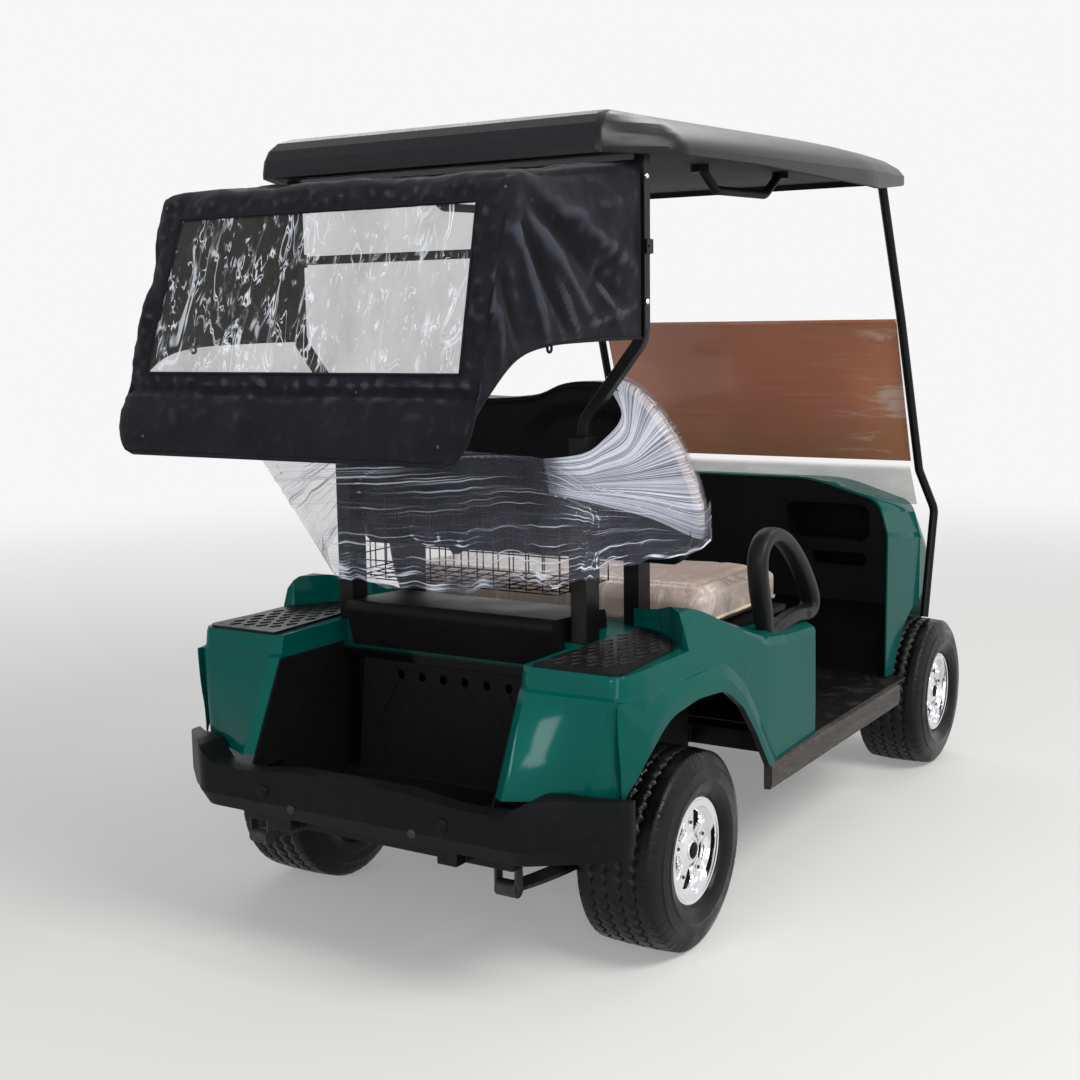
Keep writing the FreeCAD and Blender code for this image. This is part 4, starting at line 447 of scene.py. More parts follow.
def gridFaces(rows, columns, closedRows=False, closedColumns=False):
    faces = []
    for row in range(rows if closedRows else rows - 1):
        for column in range(columns if closedColumns else columns - 1):
            right = (column + 1) % columns
            down = (row + 1) % rows
            faces.append((row * columns + column, row * columns + right, down * columns + right,
                          down * columns + column))
    return faces


def ringMesh(rings, capped=False, looped=False):  # a skin over rings of points
    count = len(rings[0])
    points = [spot for ring in rings for spot in ring]
    faces = gridFaces(len(rings), count, closedRows=looped, closedColumns=True)
    if capped:
        faces.append(tuple(reversed(range(count))))
        faces.append(tuple(range(len(points) - count, len(points))))
    return points, faces


def turns(count):
    return [2 * math.pi * index / count for index in range(count)]


def curveThrough(points, count):  # smooth line through a few points
    points = [Vector(p) for p in points]
    line = []
    for step in range(count):
        along = step / (count - 1) * (len(points) - 1)
        index = min(int(along), len(points) - 2)
        t = along - index
        a = points[max(index - 1, 0)]
        b = points[index]
        c = points[index + 1]
        d = points[min(index + 2, len(points) - 1)]
        line.append(0.5 * (2 * b + (c - a) * t + (2 * a - 5 * b + 4 * c - d) * t ** 2
                           + (3 * b - a - 3 * c + d) * t ** 3))
    return line


def wireMesh(lines, radius, sides=6):  # round wires along lists of points
    wires = []
    for line in lines:
        rings = []
        for index, spot in enumerate(line):
            ahead = (line[min(index + 1, len(line) - 1)] - line[max(index - 1, 0)]).normalized()
            across = ahead.orthogonal().normalized()
            if index and across.dot(last) < 0.9:
                across = (last - ahead * last.dot(ahead)).normalized()
            last = across
            up = ahead.cross(across)
            rings.append([spot + (across * math.cos(turn) + up * math.sin(turn)) * radius
                          for turn in turns(sides)])
        wires.append(ringMesh(rings, capped=True))
    return joined(wires)


def studMesh(spots, normal, radius, height, sides=16):  # domed round heads on a face
    normal = Vector(normal).normalized()
    across = normal.orthogonal().normalized()
    up = normal.cross(across)
    rings = []
    for share, rise in ((1.0, 0.0), (1.0, 0.45), (0.85, 0.8), (0.5, 1.0), (0.0, 1.0)):
        lift = normal * height * rise
        rings.append([(across * math.cos(turn) + up * math.sin(turn)) * radius * share + lift
                      for turn in turns(sides)])
    points, faces = ringMesh(rings)
    return joined([([Vector(spot) + point for point in points], faces) for spot in spots])


def dress(material, *nodes, round=0.0):  # a CAD node's finish, and a rounded edge where it has a sharp one
    for name in nodes:
        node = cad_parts[name]
        node.data.materials.clear()
        node.data.materials.append(finishes[material])
        if round:
            weld = node.modifiers.new("weld", "WELD")
            weld.merge_threshold = 0.00005
            edge = node.modifiers.new("edge", "BEVEL")
            edge.width = round
            edge.segments = 3
            edge.limit_method = "ANGLE"
            edge.angle_limit = math.radians(28)
            edge.harden_normals = False


# Finishes of the CAD nodes

dress("paint", "rear_body", "front_cowl", round=0.006)
dress("black", "box_cover", "battery_pack", "seat_board", round=0.005)
dress("black", "roof_handles")
dress("well", "bag_well", round=0.003)
dress("bumper", "rear_bumper", "front_bumper", round=0.005)
dress("dash", "dash", round=0.006)
dress("roof", "roof", round=0.006)
dress("rocker", "rockers", round=0.003)
dress("steel", "chassis", "rear_frame", "front_posts", "pedals", round=0.002)
dress("steel", "screen_struts", "steering_column")
dress("castSteel", "knuckle_l", "knuckle_r", "tie_rod", "pitman_arm", "rear_axle", "rear_springs",
      "front_axle")
dress("chrome", "rim_rl", "rim_rr", "rim_fl", "rim_fr")
dress("floorMat", "floor_pan")
dress("stepMat", "step_mats")
dress("grip", "armrests", "steering_wheel")
dress("acrylic", "screen_lower")
dress("masked", "screen_folded")
dress("lens", "headlamps")


# Tyres: ribs between zigzag grooves, a broad shoulder with sipes, and a ringed sidewall

tyre = {"radius": 0.228, "around": 384, "waves": 48, "swing": 0.0045, "grooveDepth": 0.0055,
        "grooveHalf": 0.0034, "grooves": (-0.052, -0.018, 0.018, 0.052), "treadHalf": 0.086,
        "notchDepth": 0.0022, "crownDrop": 0.0035,
        "axles": {"rl": (0.4835, 0.6525), "rr": (-0.4835, 0.6525), "fl": (0.4995, -1.0445),
                  "fr": (-0.4995, -1.0445)},
        # distance out from the middle of the tread and radius, from the bead to the shoulder
        "wall": [(0.0836, 0.1046), (0.0838, 0.1120), (0.0862, 0.1185), (0.0905, 0.1225), (0.0925, 0.1240),
                 (0.0938, 0.1243), (0.0950, 0.1262), (0.1000, 0.1330), (0.1042, 0.1420), (0.1062, 0.1510),
                 (0.1070, 0.1560), (0.1072, 0.1566), (0.1072, 0.1590), (0.1066, 0.1596), (0.1062, 0.1700),
                 (0.1050, 0.1800), (0.1038, 0.1870), (0.1038, 0.1890), (0.1022, 0.1896), (0.1006, 0.1960),
                 (0.0985, 0.2030), (0.0958, 0.2100), (0.0936, 0.2150), (0.0905, 0.2188)]}


def tyreColumns():  # across the tyre: place, radius, groove share, zigzag share, notch share
    rows = []
    for out, radius in tyre["wall"]:
        rows.append((out, radius, 0.0, 0.0, 1.0 if radius > 0.2 else 0.0))
    half = tyre["grooveHalf"]
    spots = [(tyre["treadHalf"], 0.0), (0.078, 0.0), (0.068, 0.0)]
    for groove in reversed(tyre["grooves"]):
        spots += [(groove + half, 0.0), (groove + half * 0.55, 1.0), (groove - half * 0.55, 1.0),
                  (groove - half, 0.0), (groove - half - 0.011, 0.0)]
    spots = spots[:-1] + [(-0.068, 0.0), (-0.078, 0.0), (-tyre["treadHalf"], 0.0)]
    for place, depth in spots:
        share = abs(place) / tyre["treadHalf"]
        radius = tyre["radius"] - tyre["crownDrop"] * share ** 2.2
        zigzag = 1.0 if abs(place) < 0.064 else 0.0
        rows.append((place, radius, depth, zigzag, 1.0 if abs(place) > 0.07 else 0.0))
    for out, radius in reversed(tyre["wall"]):
        rows.append((-out, radius, 0.0, 0.0, 1.0 if radius > 0.2 else 0.0))
    return rows


def tyreMesh(middleX, axleY):
    columns = tyreColumns()
    points = []
    for step in range(tyre["around"]):
        turn = 2 * math.pi * step / tyre["around"]
        wave = turn * tyre["waves"] / (2 * math.pi) % 1.0
        swing = tyre["swing"] * (4 * abs(wave - 0.5) - 1)
        for place, radius, groove, zigzag, notch in columns:
            depth = groove * tyre["grooveDepth"]
            if wave < 0.11:
                depth += notch * tyre["notchDepth"]
            reach = radius - depth
            points.append((middleX + place + swing * zigzag, axleY + reach * math.sin(turn),
                           tyre["radius"] + reach * math.cos(turn)))
    return points, gridFaces(tyre["around"], len(columns), closedRows=True)


for corner, (middleX, axleY) in tyre["axles"].items():
    meshPiece("tyre_tread_" + corner, tyreMesh(middleX, axleY), "tyre", "tyre_rubber", "wheel_" + corner,
              "tyre_" + corner)
print("tyres made")


# Wheel covers: a bright dish with five spokes, slots closed by black faces as painted shade, and a plain
# black cap

cover = {"rings": 58, "around": 300, "spokes": 5, "rim": 0.1225, "spokeHalf": 0.0155, "recess": 0.056,
         "crestIn": 0.0755, "crestOut": 0.0735, "spokeIn": 0.0400, "spokeOut": 0.0945, "edge": 0.005,
         "slotIn": 0.043, "slotOut": 0.0905, "dimpleHalf": 0.0085, "dimpleDepth": 0.0028,
         "dimpleIn": 0.054, "dimpleOut": 0.074, "lugRadius": 0.0046, "lugCircle": 0.064,
         "capRadius": 0.0185, "capOut": 0.0795,
         # radius and distance out from the middle of the tread
         "dish": [(0.1225, 0.0862), (0.1212, 0.0888), (0.1180, 0.0896), (0.1150, 0.0892), (0.1125, 0.0868),
                  (0.1095, 0.0800), (0.1065, 0.0745), (0.1000, 0.0722), (0.0970, 0.0738), (0.0945, 0.0735)],
         "hub": [(0.0400, 0.0755), (0.0340, 0.0778), (0.0300, 0.0795), (0.0200, 0.0800)]}


def alongTable(table, radius):
    for (far, farX), (near, nearX) in zip(table, table[1:]):
        if near <= radius <= far:
            return nearX + (farX - nearX) * (radius - near) / (far - near)
    return table[0][1] if radius > table[0][0] else table[-1][1]


def coverHeight(radius, turn):  # distance out and whether the spot is in a slot, which is painted black as shade
    low, high = cover["spokeIn"], cover["spokeOut"]
    if radius >= high:
        return alongTable(cover["dish"], radius), False
    if radius <= low:
        return alongTable(cover["hub"], radius), False
    pitch = 2 * math.pi / cover["spokes"]
    side = abs((turn + pitch / 2) % pitch - pitch / 2) * radius
    crest = between(cover["crestOut"], cover["crestIn"], (high - radius) / (high - low))
    flare = cover["spokeHalf"] * (1.0 + 0.35 * ((radius - low) / (high - low)) ** 2)
    webs = clamp((cover["slotOut"] - radius) / 0.005) * clamp((radius - cover["slotIn"]) / 0.006)
    fall = clamp((side - flare) / cover["edge"]) * webs
    height = crest - fall * (crest - cover["recess"])
    if side < cover["dimpleHalf"] and cover["dimpleIn"] < radius < cover["dimpleOut"]:
        height -= cover["dimpleDepth"] * min(1.0, (cover["dimpleHalf"] - side) / 0.002)
    return height, fall > 0.55


def coverMesh(middleX, axleY, out):
    points, slotShade = [], []
    for index in range(cover["rings"]):
        radius = cover["rim"] * (1 - index / cover["rings"]) + 0.0002
        for turn in turns(cover["around"]):
            height, slot = coverHeight(radius, turn)
            slotShade.append(slot)
            points.append((middleX + out * height, axleY + radius * math.sin(turn),
                           tyre["radius"] + radius * math.cos(turn)))
    faces = gridFaces(cover["rings"], cover["around"], closedColumns=True)
    return points, faces if out > 0 else [face[::-1] for face in faces], slotShade


for corner, (middleX, axleY) in tyre["axles"].items():
    out = math.copysign(1, middleX)
    body = "wheel_" + corner
    points, faces, slotShade = coverMesh(middleX, axleY, out)
    piece = meshPiece("wheel_cover_" + corner, (points, faces), "chrome black", "chrome_trim", body)
    # painted shade: faces in the slots take the black finish in place of openings
    for face in piece.data.polygons:
        if sum(slotShade[v] for v in face.vertices) >= 3:
            face.material_index = 1
    middle = Vector((middleX + out * cover["capOut"], axleY, tyre["radius"]))
    ring = studMesh([middle], (out, 0, 0), cover["capRadius"] + 0.004, 0.0035, 48)
    meshPiece("wheel_cap_ring_" + corner, ring, "chrome", "chrome_trim", body)
    cap = studMesh([middle + Vector((out * 0.002, 0, 0))], (out, 0, 0), cover["capRadius"], 0.0045, 48)
    meshPiece("wheel_cap_" + corner, cap, "black", "black_plastic", body)
    around = cover["lugCircle"]
    nuts = [middle + Vector((-out * 0.0050, around * math.sin(turn), around * math.cos(turn)))
            for turn in turns(cover["spokes"])]
    meshPiece("wheel_nuts_" + corner, studMesh(nuts, (out, 0, 0), cover["lugRadius"], 0.0045, 6), "castSteel",
              "cast_steel", body, smooth=False)
print("wheel covers made")


# Basket of welded round wires with a heavier top hoop

basket = {"halfWidth": 0.3045, "front": 0.5630, "rear": 0.7820, "low": 0.8035, "high": 0.9815,
          "pitch": 0.0435, "wire": 0.0017, "hoop": 0.0034, "sag": 0.006}


def basketRing(z):
    half, front, rear = basket["halfWidth"], basket["front"], basket["rear"]
    corners = ((-half, front), (half, front), (half, rear), (-half, rear), (-half, front))
    return [Vector((x, y, z)) for x, y in corners]


def basketWires():
    half, front, rear = basket["halfWidth"], basket["front"], basket["rear"]
    low, high = basket["low"], basket["high"]
    across, deep, tall = (round(length / basket["pitch"]) for length in (2 * half, rear - front, high - low))

    def dip(x, y):  # the floor wires sag between the walls
        spread = (1 - (x / half) ** 2) * (1 - ((y - front) / (rear - front) * 2 - 1) ** 2)
        return low + 0.004 - basket["sag"] * spread * 0.6
    lines = []
    for index in range(across + 1):
        x = between(-half, half, index / across)
        floor = [Vector((x, y, dip(x, y))) for y in stations((front, rear), (12,))]
        lines.append([Vector((x, front, high))] + floor + [Vector((x, rear, high))])
    for index in range(deep + 1):
        y = between(front, rear, index / deep)
        floor = [Vector((x, y, dip(x, y) - 0.003)) for x in stations((-half, half), (24,))]
        lines.append([Vector((-half, y, high))] + floor + [Vector((half, y, high))])
    return lines + [basketRing(between(low, high, index / tall)) for index in range(1, tall)]


meshPiece("basket_wires", wireMesh(basketWires(), basket["wire"]), "steel", "wire_black", stands="basket")
meshPiece("basket_hoop", wireMesh([basketRing(basket["high"])], basket["hoop"], 8), "steel", "wire_black")
print("basket made")


# Raised bars of the step mats, in staggered rows that all lean the same way

mats = {"top": 0.6960, "length": 0.030, "width": 0.0085, "height": 0.0026, "row": 0.0290, "along": 0.0420,
        "lean": 25.0, "margin": 0.020,
        "outline": [(0.360, 0.540), (0.409, 0.548), (0.470, 0.600), (0.538, 0.690), (0.556, 0.960),
                    (0.352, 0.974), (0.352, 0.760)]}


def inside(x, y, corners):
    crossed = False
    for (x0, y0), (x1, y1) in zip(corners, corners[1:] + corners[:1]):
        if (y0 > y) != (y1 > y) and x < x0 + (x1 - x0) * (y - y0) / (y1 - y0):
            crossed = not crossed
    return crossed


def barMesh(spots, lean):
    half, wide, high = mats["length"] / 2, mats["width"] / 2, mats["height"]
    ahead = Vector((math.sin(lean), math.cos(lean), 0))
    aside = Vector((ahead.y, -ahead.x, 0))
    corner = [(-1.0, 0.45), (-0.82, 1.0), (0.82, 1.0), (1.0, 0.45)]
    outline = corner + [(a, -b) for a, b in reversed(corner)]
    rings = []
    for share, rise in ((1.0, 0.0), (0.92, high * 0.7), (0.72, high)):
        rings.append([Vector((0, 0, rise)) + (ahead * half * a + aside * wide * b) * share
                      for a, b in outline])
    points, faces = ringMesh(rings)
    faces.append(tuple(range(len(points) - len(outline), len(points))))
    return joined([([Vector((x, y, mats["top"])) + point for point in points], faces) for x, y in spots])


def matSpots(side):
    corners = [(side * x, y) for x, y in mats["outline"]]
    spots = []
    lean = math.radians(mats["lean"])
    for row in range(-40, 40):
        for step in range(-40, 40):
            a = step * mats["along"] + (row % 2) * mats["along"] / 2
            b = row * mats["row"]
            x = side * 0.45 + a * math.sin(lean) + b * math.cos(lean)
            y = 0.76 + a * math.cos(lean) - b * math.sin(lean)
            reach = mats["margin"]
            around = ((reach, 0), (-reach, 0), (0, reach), (0, -reach))
            if all(inside(x + dx, y + dy, corners) for dx, dy in around):
                spots.append((x, y))
    return spots


bars = barMesh(matSpots(1) + matSpots(-1), math.radians(mats["lean"]))
meshPiece("step_mat_bars", bars, "stepMat", "step_rubber")
print("mat bars made")


# Bolts on the rear bumper and chrome heads on the rear struts

bolts = {"large": ((0.242, 1.1600, 0.381), 0.0150), "small": ((0.164, 1.1565, 0.351), 0.0105),
         "height": 0.0060, "strutX": 0.4875, "strutY": 0.7130, "strutHeights": (1.700, 1.5550, 1.4400),
         "strutRadius": 0.0065}

for size, material, slot in (("large", "bumper", "bumper_plastic"), ("small", "castSteel", "cast_steel")):
    (x, y, z), radius = bolts[size]
    heads = studMesh([(x, y, z), (-x, y, z)], (0, 1, 0), radius, bolts["height"], 24)
    meshPiece("bumper_bolts_" + size, heads, material, slot)
for side, name in ((-1, "right"), (1, "left")):
    spots = [(side * bolts["strutX"], bolts["strutY"], z) for z in bolts["strutHeights"]]
    heads = studMesh(spots, (side, 0, 0), bolts["strutRadius"], 0.0045)
    meshPiece("strut_bolts_" + name, heads, "chrome", "chrome_trim")
print("bolts made")


# Bag cover: one canvas sheet over the struts, closed behind by a leaning face with a window

hood = {"frontY": 0.7210, "frontHalf": 0.4775, "frontTop": 1.7340, "rearHalf": 0.4545,
        "rearTop": (1.1720, 1.6855), "corner": (1.3100, 1.2360), "hem": (1.3440, 1.1415), "hemHalf": 0.395,
        "cornerHalf": 0.449,
        "lowEdge": [(0.7210, 1.3640), (0.9000, 1.3625), (1.0840, 1.3560), (1.1920, 1.3310),
                    (1.2780, 1.2690), (1.3100, 1.2360)], "windowTop": 1.6240, "windowLow": 1.3090,
        "windowTopHalf": 0.3780, "windowLowHalf": 0.4000,
        # rows: border, window, border, skirt; columns: border, window, border
        "backRows": (8, 36, 9, 12), "backColumns": (9, 84, 9),
        "spacing": 0.0085, "smoothing": 60, "sag": 0.014, "fold": 0.0125, "cloth": 0.0022,
        "flat": (1.95, 1.12)}


def hoodRearY(z):
    (topY, topZ), (hemY, hemZ) = hood["rearTop"], hood["hem"]
    return between(hemY, topY, (z - hemZ) / (topZ - hemZ))


def windowHalf(z):
    share = (z - hood["windowLow"]) / (hood["windowTop"] - hood["windowLow"])
    return between(hood["windowLowHalf"], hood["windowTopHalf"], share)


def hoodHemHalf(fall):  # half the width of the back below its corners, rounded towards the hem
    return between(hood["cornerHalf"], hood["hemHalf"], 1 - math.sqrt(max(0.0, 1 - fall ** 2.4)))


def backLevels(*further):  # heights of the rows of the leaning face, from its top to its corners
    stops = (hood["rearTop"][1], hood["windowTop"], hood["windowLow"], hood["corner"][1], *further)
    return stations(stops, hood["backRows"])


def hoodColumns(halfRear, halfWindow):  # x places across the back: borders outside, window inside
    return stations((-halfRear, -halfWindow, halfWindow, halfRear), hood["backColumns"])


def hoodSide(side):  # one side panel, from the strut back to the leaning face
    columns = 64
    (rearY, topZ), cornerZ = hood["rearTop"], hood["corner"][1]
    low = curveThrough([(0, y, z) for y, z in hood["lowEdge"]], columns)
    points = []
    for level in reversed(backLevels()):
        rise = (level - cornerZ) / (topZ - cornerZ)
        for column in range(columns):
            along = column / (columns - 1)
            top = Vector((0, between(hood["frontY"], rearY, along), between(hood["frontTop"], topZ, along)))
            spot = low[column].lerp(top, rise)
            half = between(hood["frontHalf"], hood["rearHalf"], along)
            if along > 0.5:
                half += (hood["cornerHalf"] - hood["rearHalf"]) * (1 - rise) * (along - 0.5) * 2
            points.append(Vector((side * half, spot.y, spot.z)))
    faces = gridFaces(len(points) // columns, columns)
    return points, faces if side > 0 else [face[::-1] for face in faces]


def hoodTop():
    rows = 64
    rearY, topZ = hood["rearTop"]
    points = []
    for row in range(rows):
        along = row / (rows - 1)
        half = between(hood["frontHalf"], hood["rearHalf"], along)
        y, z = between(hood["frontY"], rearY, along), between(hood["frontTop"], topZ, along)
        points += [Vector((x, y, z)) for x in hoodColumns(half, windowHalf(topZ) * half / hood["rearHalf"])]
    return points, [face[::-1] for face in gridFaces(rows, len(points) // rows)]


def hoodBack():
    topZ, cornerZ, hemZ = hood["rearTop"][1], hood["corner"][1], hood["hem"][1]
    levels = backLevels(hemZ)
    points = []
    for z in levels:
        if z >= cornerZ:
            half = between(hood["cornerHalf"], hood["rearHalf"], (z - cornerZ) / (topZ - cornerZ))
        else:
            half = hoodHemHalf((cornerZ - z) / (cornerZ - hemZ))
        points += [Vector((x, hoodRearY(z), z)) for x in hoodColumns(half, min(windowHalf(z), half - 0.02))]
    columns = len(points) // len(levels)
    border, glass = hood["backRows"][:2]
    edge, wide = hood["backColumns"][:2]
    faces = []
    for face in gridFaces(len(levels), columns):
        row, column = divmod(face[0], columns)
        if not (border <= row < border + glass and edge <= column < edge + wide):
            faces.append(face[::-1])
    return points, faces


def foldLine(spot, start, end, width, height):  # a soft ridge between two points of a panel, in y and z
    along = end - start
    share = clamp((spot - start).dot(along) / along.length_squared)
    away = (spot - start - along * share).length
    return height * bell(away, width) * math.sin(math.pi * (0.1 + 0.8 * share))


hoodFolds = [
    # start y, z and end y, z on the side panels, width, height
    (1.13, 1.66, 0.74, 1.50, 0.024, 0.014),
    (1.12, 1.62, 0.76, 1.42, 0.018, -0.011),
    (1.15, 1.62, 0.92, 1.40, 0.020, 0.012),
    (1.15, 1.58, 1.02, 1.39, 0.016, -0.012),
    (1.19, 1.58, 1.09, 1.37, 0.017, 0.013),
    (1.22, 1.50, 1.17, 1.36, 0.014, -0.010),
    (1.24, 1.46, 1.24, 1.31, 0.014, 0.011),
    (0.80, 1.71, 1.10, 1.69, 0.016, -0.010),
    (0.74, 1.66, 1.06, 1.60, 0.020, 0.010),
    (0.74, 1.43, 0.98, 1.385, 0.013, 0.010),
    (0.80, 1.57, 0.93, 1.45, 0.015, -0.008),
    (0.93, 1.53, 0.80, 1.375, 0.012, 0.008),
    (1.05, 1.49, 0.98, 1.375, 0.010, 0.007),
    (1.16, 1.655, 1.20, 1.50, 0.014, 0.010),
]


def windowGap(point):  # how far a place on the back is from the window's edge
    besides = abs(point.x) - windowHalf(point.z)
    return max(besides, point.z - hood["windowTop"], hood["windowLow"] - point.z, 0.0)


def hoodLift(point, normal):  # how far the canvas stands off its plain shape
    x, y, z = point
    drape = noise.noise(point * 5.5 + Vector((4.1, 0.3, 7.7))) * 0.6
    drape += ripple(x * 12, y * 10, z * 15) * 0.4
    drape += (0.4 - abs(ripple(x * 10 + 9, y * 19 + 2, z * 13 + 5))) * 0.4
    drape += noise.noise(point * 46) * 0.14
    if abs(normal.x) > 0.6:
        lift = drape * hood["fold"] * 0.9
        strength = 1.3 if x < 0 else 0.5
        for y0, z0, y1, z1, width, height in hoodFolds:
            lift += strength * foldLine(Vector((y, z)), Vector((y0, z0)), Vector((y1, z1)), width, height)
        return lift
    if normal.z > 0.6:
        along = (y - hood["frontY"]) / (hood["rearTop"][0] - hood["frontY"])
        sag = hood["sag"] * math.sin(math.pi * clamp(along)) * (1 - (x / hood["frontHalf"]) ** 2)
        waves = math.sin(x * 21 + noise.noise(point * 4) * 3) * math.sin(math.pi * along)
        return drape * hood["fold"] - sag + 0.006 * waves
    gap = windowGap(point)
    lift = drape * hood["fold"] * min(1.0, 0.25 + gap / 0.06)
    lift += 0.006 * ripple(x * 52, 1.5, z * 52) * bell(gap - 0.026, 0.022)
    lift += 0.011 * ripple(x * 9, 3.3, z * 17) * bell(abs(x) - 0.435, 0.03)
    if z < 1.31:
        waves = ripple(x * 7, 0.4, 2.2) + 0.5 * ripple(x * 17, z * 8, 4.4)
        lift += 0.009 * bell(z - 1.21, 0.04) * (0.5 + waves)
        lift -= 0.0085 * bell(z - 1.272 - 0.006 * waves, 0.009)
    return lift


def buildHood():
    mesh = bmesh.new()
    for points, faces in (hoodSide(1), hoodSide(-1), hoodTop(), hoodBack()):
        made = [mesh.verts.new(point) for point in points]
        for face in faces:
            mesh.faces.new([made[index] for index in face])
    mesh.verts.ensure_lookup_table()
    bmesh.ops.remove_doubles(mesh, verts=mesh.verts, dist=0.0001)
    seams = [v for v in mesh.verts
             if v.is_boundary and abs(v.co.x) > 0.44 and v.co.y > hood["frontY"] + 0.002]
    bmesh.ops.remove_doubles(mesh, verts=seams, dist=hood["spacing"] * 0.75)
    bmesh.ops.delete(mesh, geom=[v for v in mesh.verts if not v.link_faces], context="VERTS")
    for turn in range(hood["smoothing"]):
        loose = [v for v in mesh.verts if not v.is_boundary]
        bmesh.ops.smooth_vert(mesh, verts=loose, factor=0.5, use_axis_x=True, use_axis_y=True,
                              use_axis_z=True)
    bmesh.ops.recalc_face_normals(mesh, faces=mesh.faces)
    mesh.normal_update()
    crestShading = mesh.verts.layers.float.new("crest")
    plain = {vertex: vertex.co.copy() for vertex in mesh.verts}
    for vertex, spot in plain.items():
        held = min(1.0, (spot.y - hood["frontY"]) / 0.03, 0.35 if vertex.is_boundary else 1.0)
        vertex.co += vertex.normal * hoodLift(spot, vertex.normal) * max(0.0, held)
    for vertex in mesh.verts:  # how far each place stands above those round it, for painted highlights on ridges and painted shade in hollows
        near = [edge.other_vert(vertex) for edge in vertex.link_edges]
        far = [edge.other_vert(v) for v in near for edge in v.link_edges]
        middle = sum((v.co - plain[v] for v in far), Vector()) / len(far)
        vertex[crestShading] = (vertex.co - plain[vertex] - middle).dot(vertex.normal) / hood["cloth"]
    area = sum(face.calc_area() for face in mesh.faces)
    data = bpy.data.meshes.new("bag_cover_canvas")
    mesh.to_mesh(data)
    mesh.free()
    print("canvas area:", round(area, 3))
    return data, area


hoodData, hoodArea = buildHood()
canvas = settle(placed("bag_cover_canvas", hoodData), "canvas", "cover_fabric", stands="bag_cover")
thick = canvas.modifiers.new("cloth", "SOLIDIFY")
thick.thickness = hood["cloth"]
thick.offset = -1.0


# Welts along the cover's edges and round its window

def hoodEdges():
    low = curveThrough([(0, y, z) for y, z in hood["lowEdge"]], 40)
    cornerZ, (hemY, hemZ) = hood["corner"][1], hood["hem"]
    lines = []
    for side in (1, -1):
        line = [Vector((side * between(hood["frontHalf"], hood["cornerHalf"], i / 39), p.y, p.z))
                for i, p in enumerate(low)]
        for fall in stations((0.0, 1.0), (11,))[1:]:
            z = between(cornerZ, hemZ, fall)
            line.append(Vector((side * hoodHemHalf(fall), hoodRearY(z), z)))
        lines.append(line)
    lines.append([Vector((x, hemY, hemZ)) for x in stations((hood["hemHalf"], -hood["hemHalf"]), (20,))])
    return lines


def windowFrame(margin):
    ends = [(windowHalf(z) + margin, z) for z in (hood["windowTop"] + margin, hood["windowLow"] - margin)]
    (topHalf, top), (lowHalf, low) = ends
    ring = [(-topHalf, top), (topHalf, top), (lowHalf, low), (-lowHalf, low)]
    line = []
    for (x0, z0), (x1, z1) in zip(ring, ring[1:] + ring[:1]):
        for share in stations((0.0, 1.0), (24,))[:-1]:
            z = between(z0, z1, share)
            line.append(Vector((between(x0, x1, share), hoodRearY(z) + 0.0012, z)))
    return [line + line[:1]]


meshPiece("bag_cover_hem", wireMesh(hoodEdges(), 0.0036, 8), "canvas", "cover_fabric")
meshPiece("bag_cover_window_welt", wireMesh(windowFrame(0.003), 0.0018, 6), "canvas", "cover_fabric")


# Snaps on the canvas and the strap's loop under its side edge

snaps = {"spots": [(-0.445, 1.190, 1.655), (-0.052, 1.185, 1.656), (0.425, 1.190, 1.655),
                   (-0.166, 1.303, 1.271), (-0.382, 1.330, 1.175), (0.370, 1.330, 1.175),
                   (-0.470, 1.120, 1.626), (0.470, 1.120, 1.626)], "inside": (0, 0.95, 1.4),
         "radius": 0.0036, "height": 0.0014, "loop": (0.468, 1.080, 1.350), "loopRadius": 0.008,
         "strap": 0.0028}


def skinOf(mesh):
    return BVHTree.FromPolygons([vertex.co for vertex in mesh.vertices],
                                [tuple(face.vertices) for face in mesh.polygons])


def snapHeads():
    skin = skinOf(hoodData)
    for spot in snaps["spots"]:
        place, normal, index, distance = skin.find_nearest(Vector(spot))
        if normal.dot(place - Vector(snaps["inside"])) < 0:
            normal = -normal
        yield studMesh([place], normal, snaps["radius"], snaps["height"], 14)


def loopLine(side):
    x, y, z = snaps["loop"]
    ring = [Vector((0, math.cos(turn), math.sin(turn))) * snaps["loopRadius"] for turn in turns(18)]
    return [Vector((side * x, y, z)) + spot for spot in ring + ring[:1]]


meshPiece("bag_cover_snaps", joined(snapHeads()), "castSteel", "cast_steel")
loops = wireMesh([loopLine(1), loopLine(-1)], snaps["strap"], 8)
meshPiece("bag_cover_loops", loops, "canvas", "cover_fabric")


# Window of the cover: clear sheet with long soft wrinkles

window = {"margin": 0.008, "columns": 210, "rows": 96, "wave": 0.0042, "flat": (0.83, 0.37)}


def windowLift(x, z):
    share = (hood["windowTop"] - z) / (hood["windowTop"] - hood["windowLow"])
    lean = ripple(x * 3.0, z * 2.0, 1.7) * 0.05
    wide = ripple((x + lean) * 15 + share * 1.3, z * 3.4, 0.4)
    thin = ripple((x - lean) * 38 - share * 2.6, z * 5.5, 6.1)
    return wide + thin * 0.45 + ripple(x * 8, z * 26 + x * 9, 3.3) * 0.3


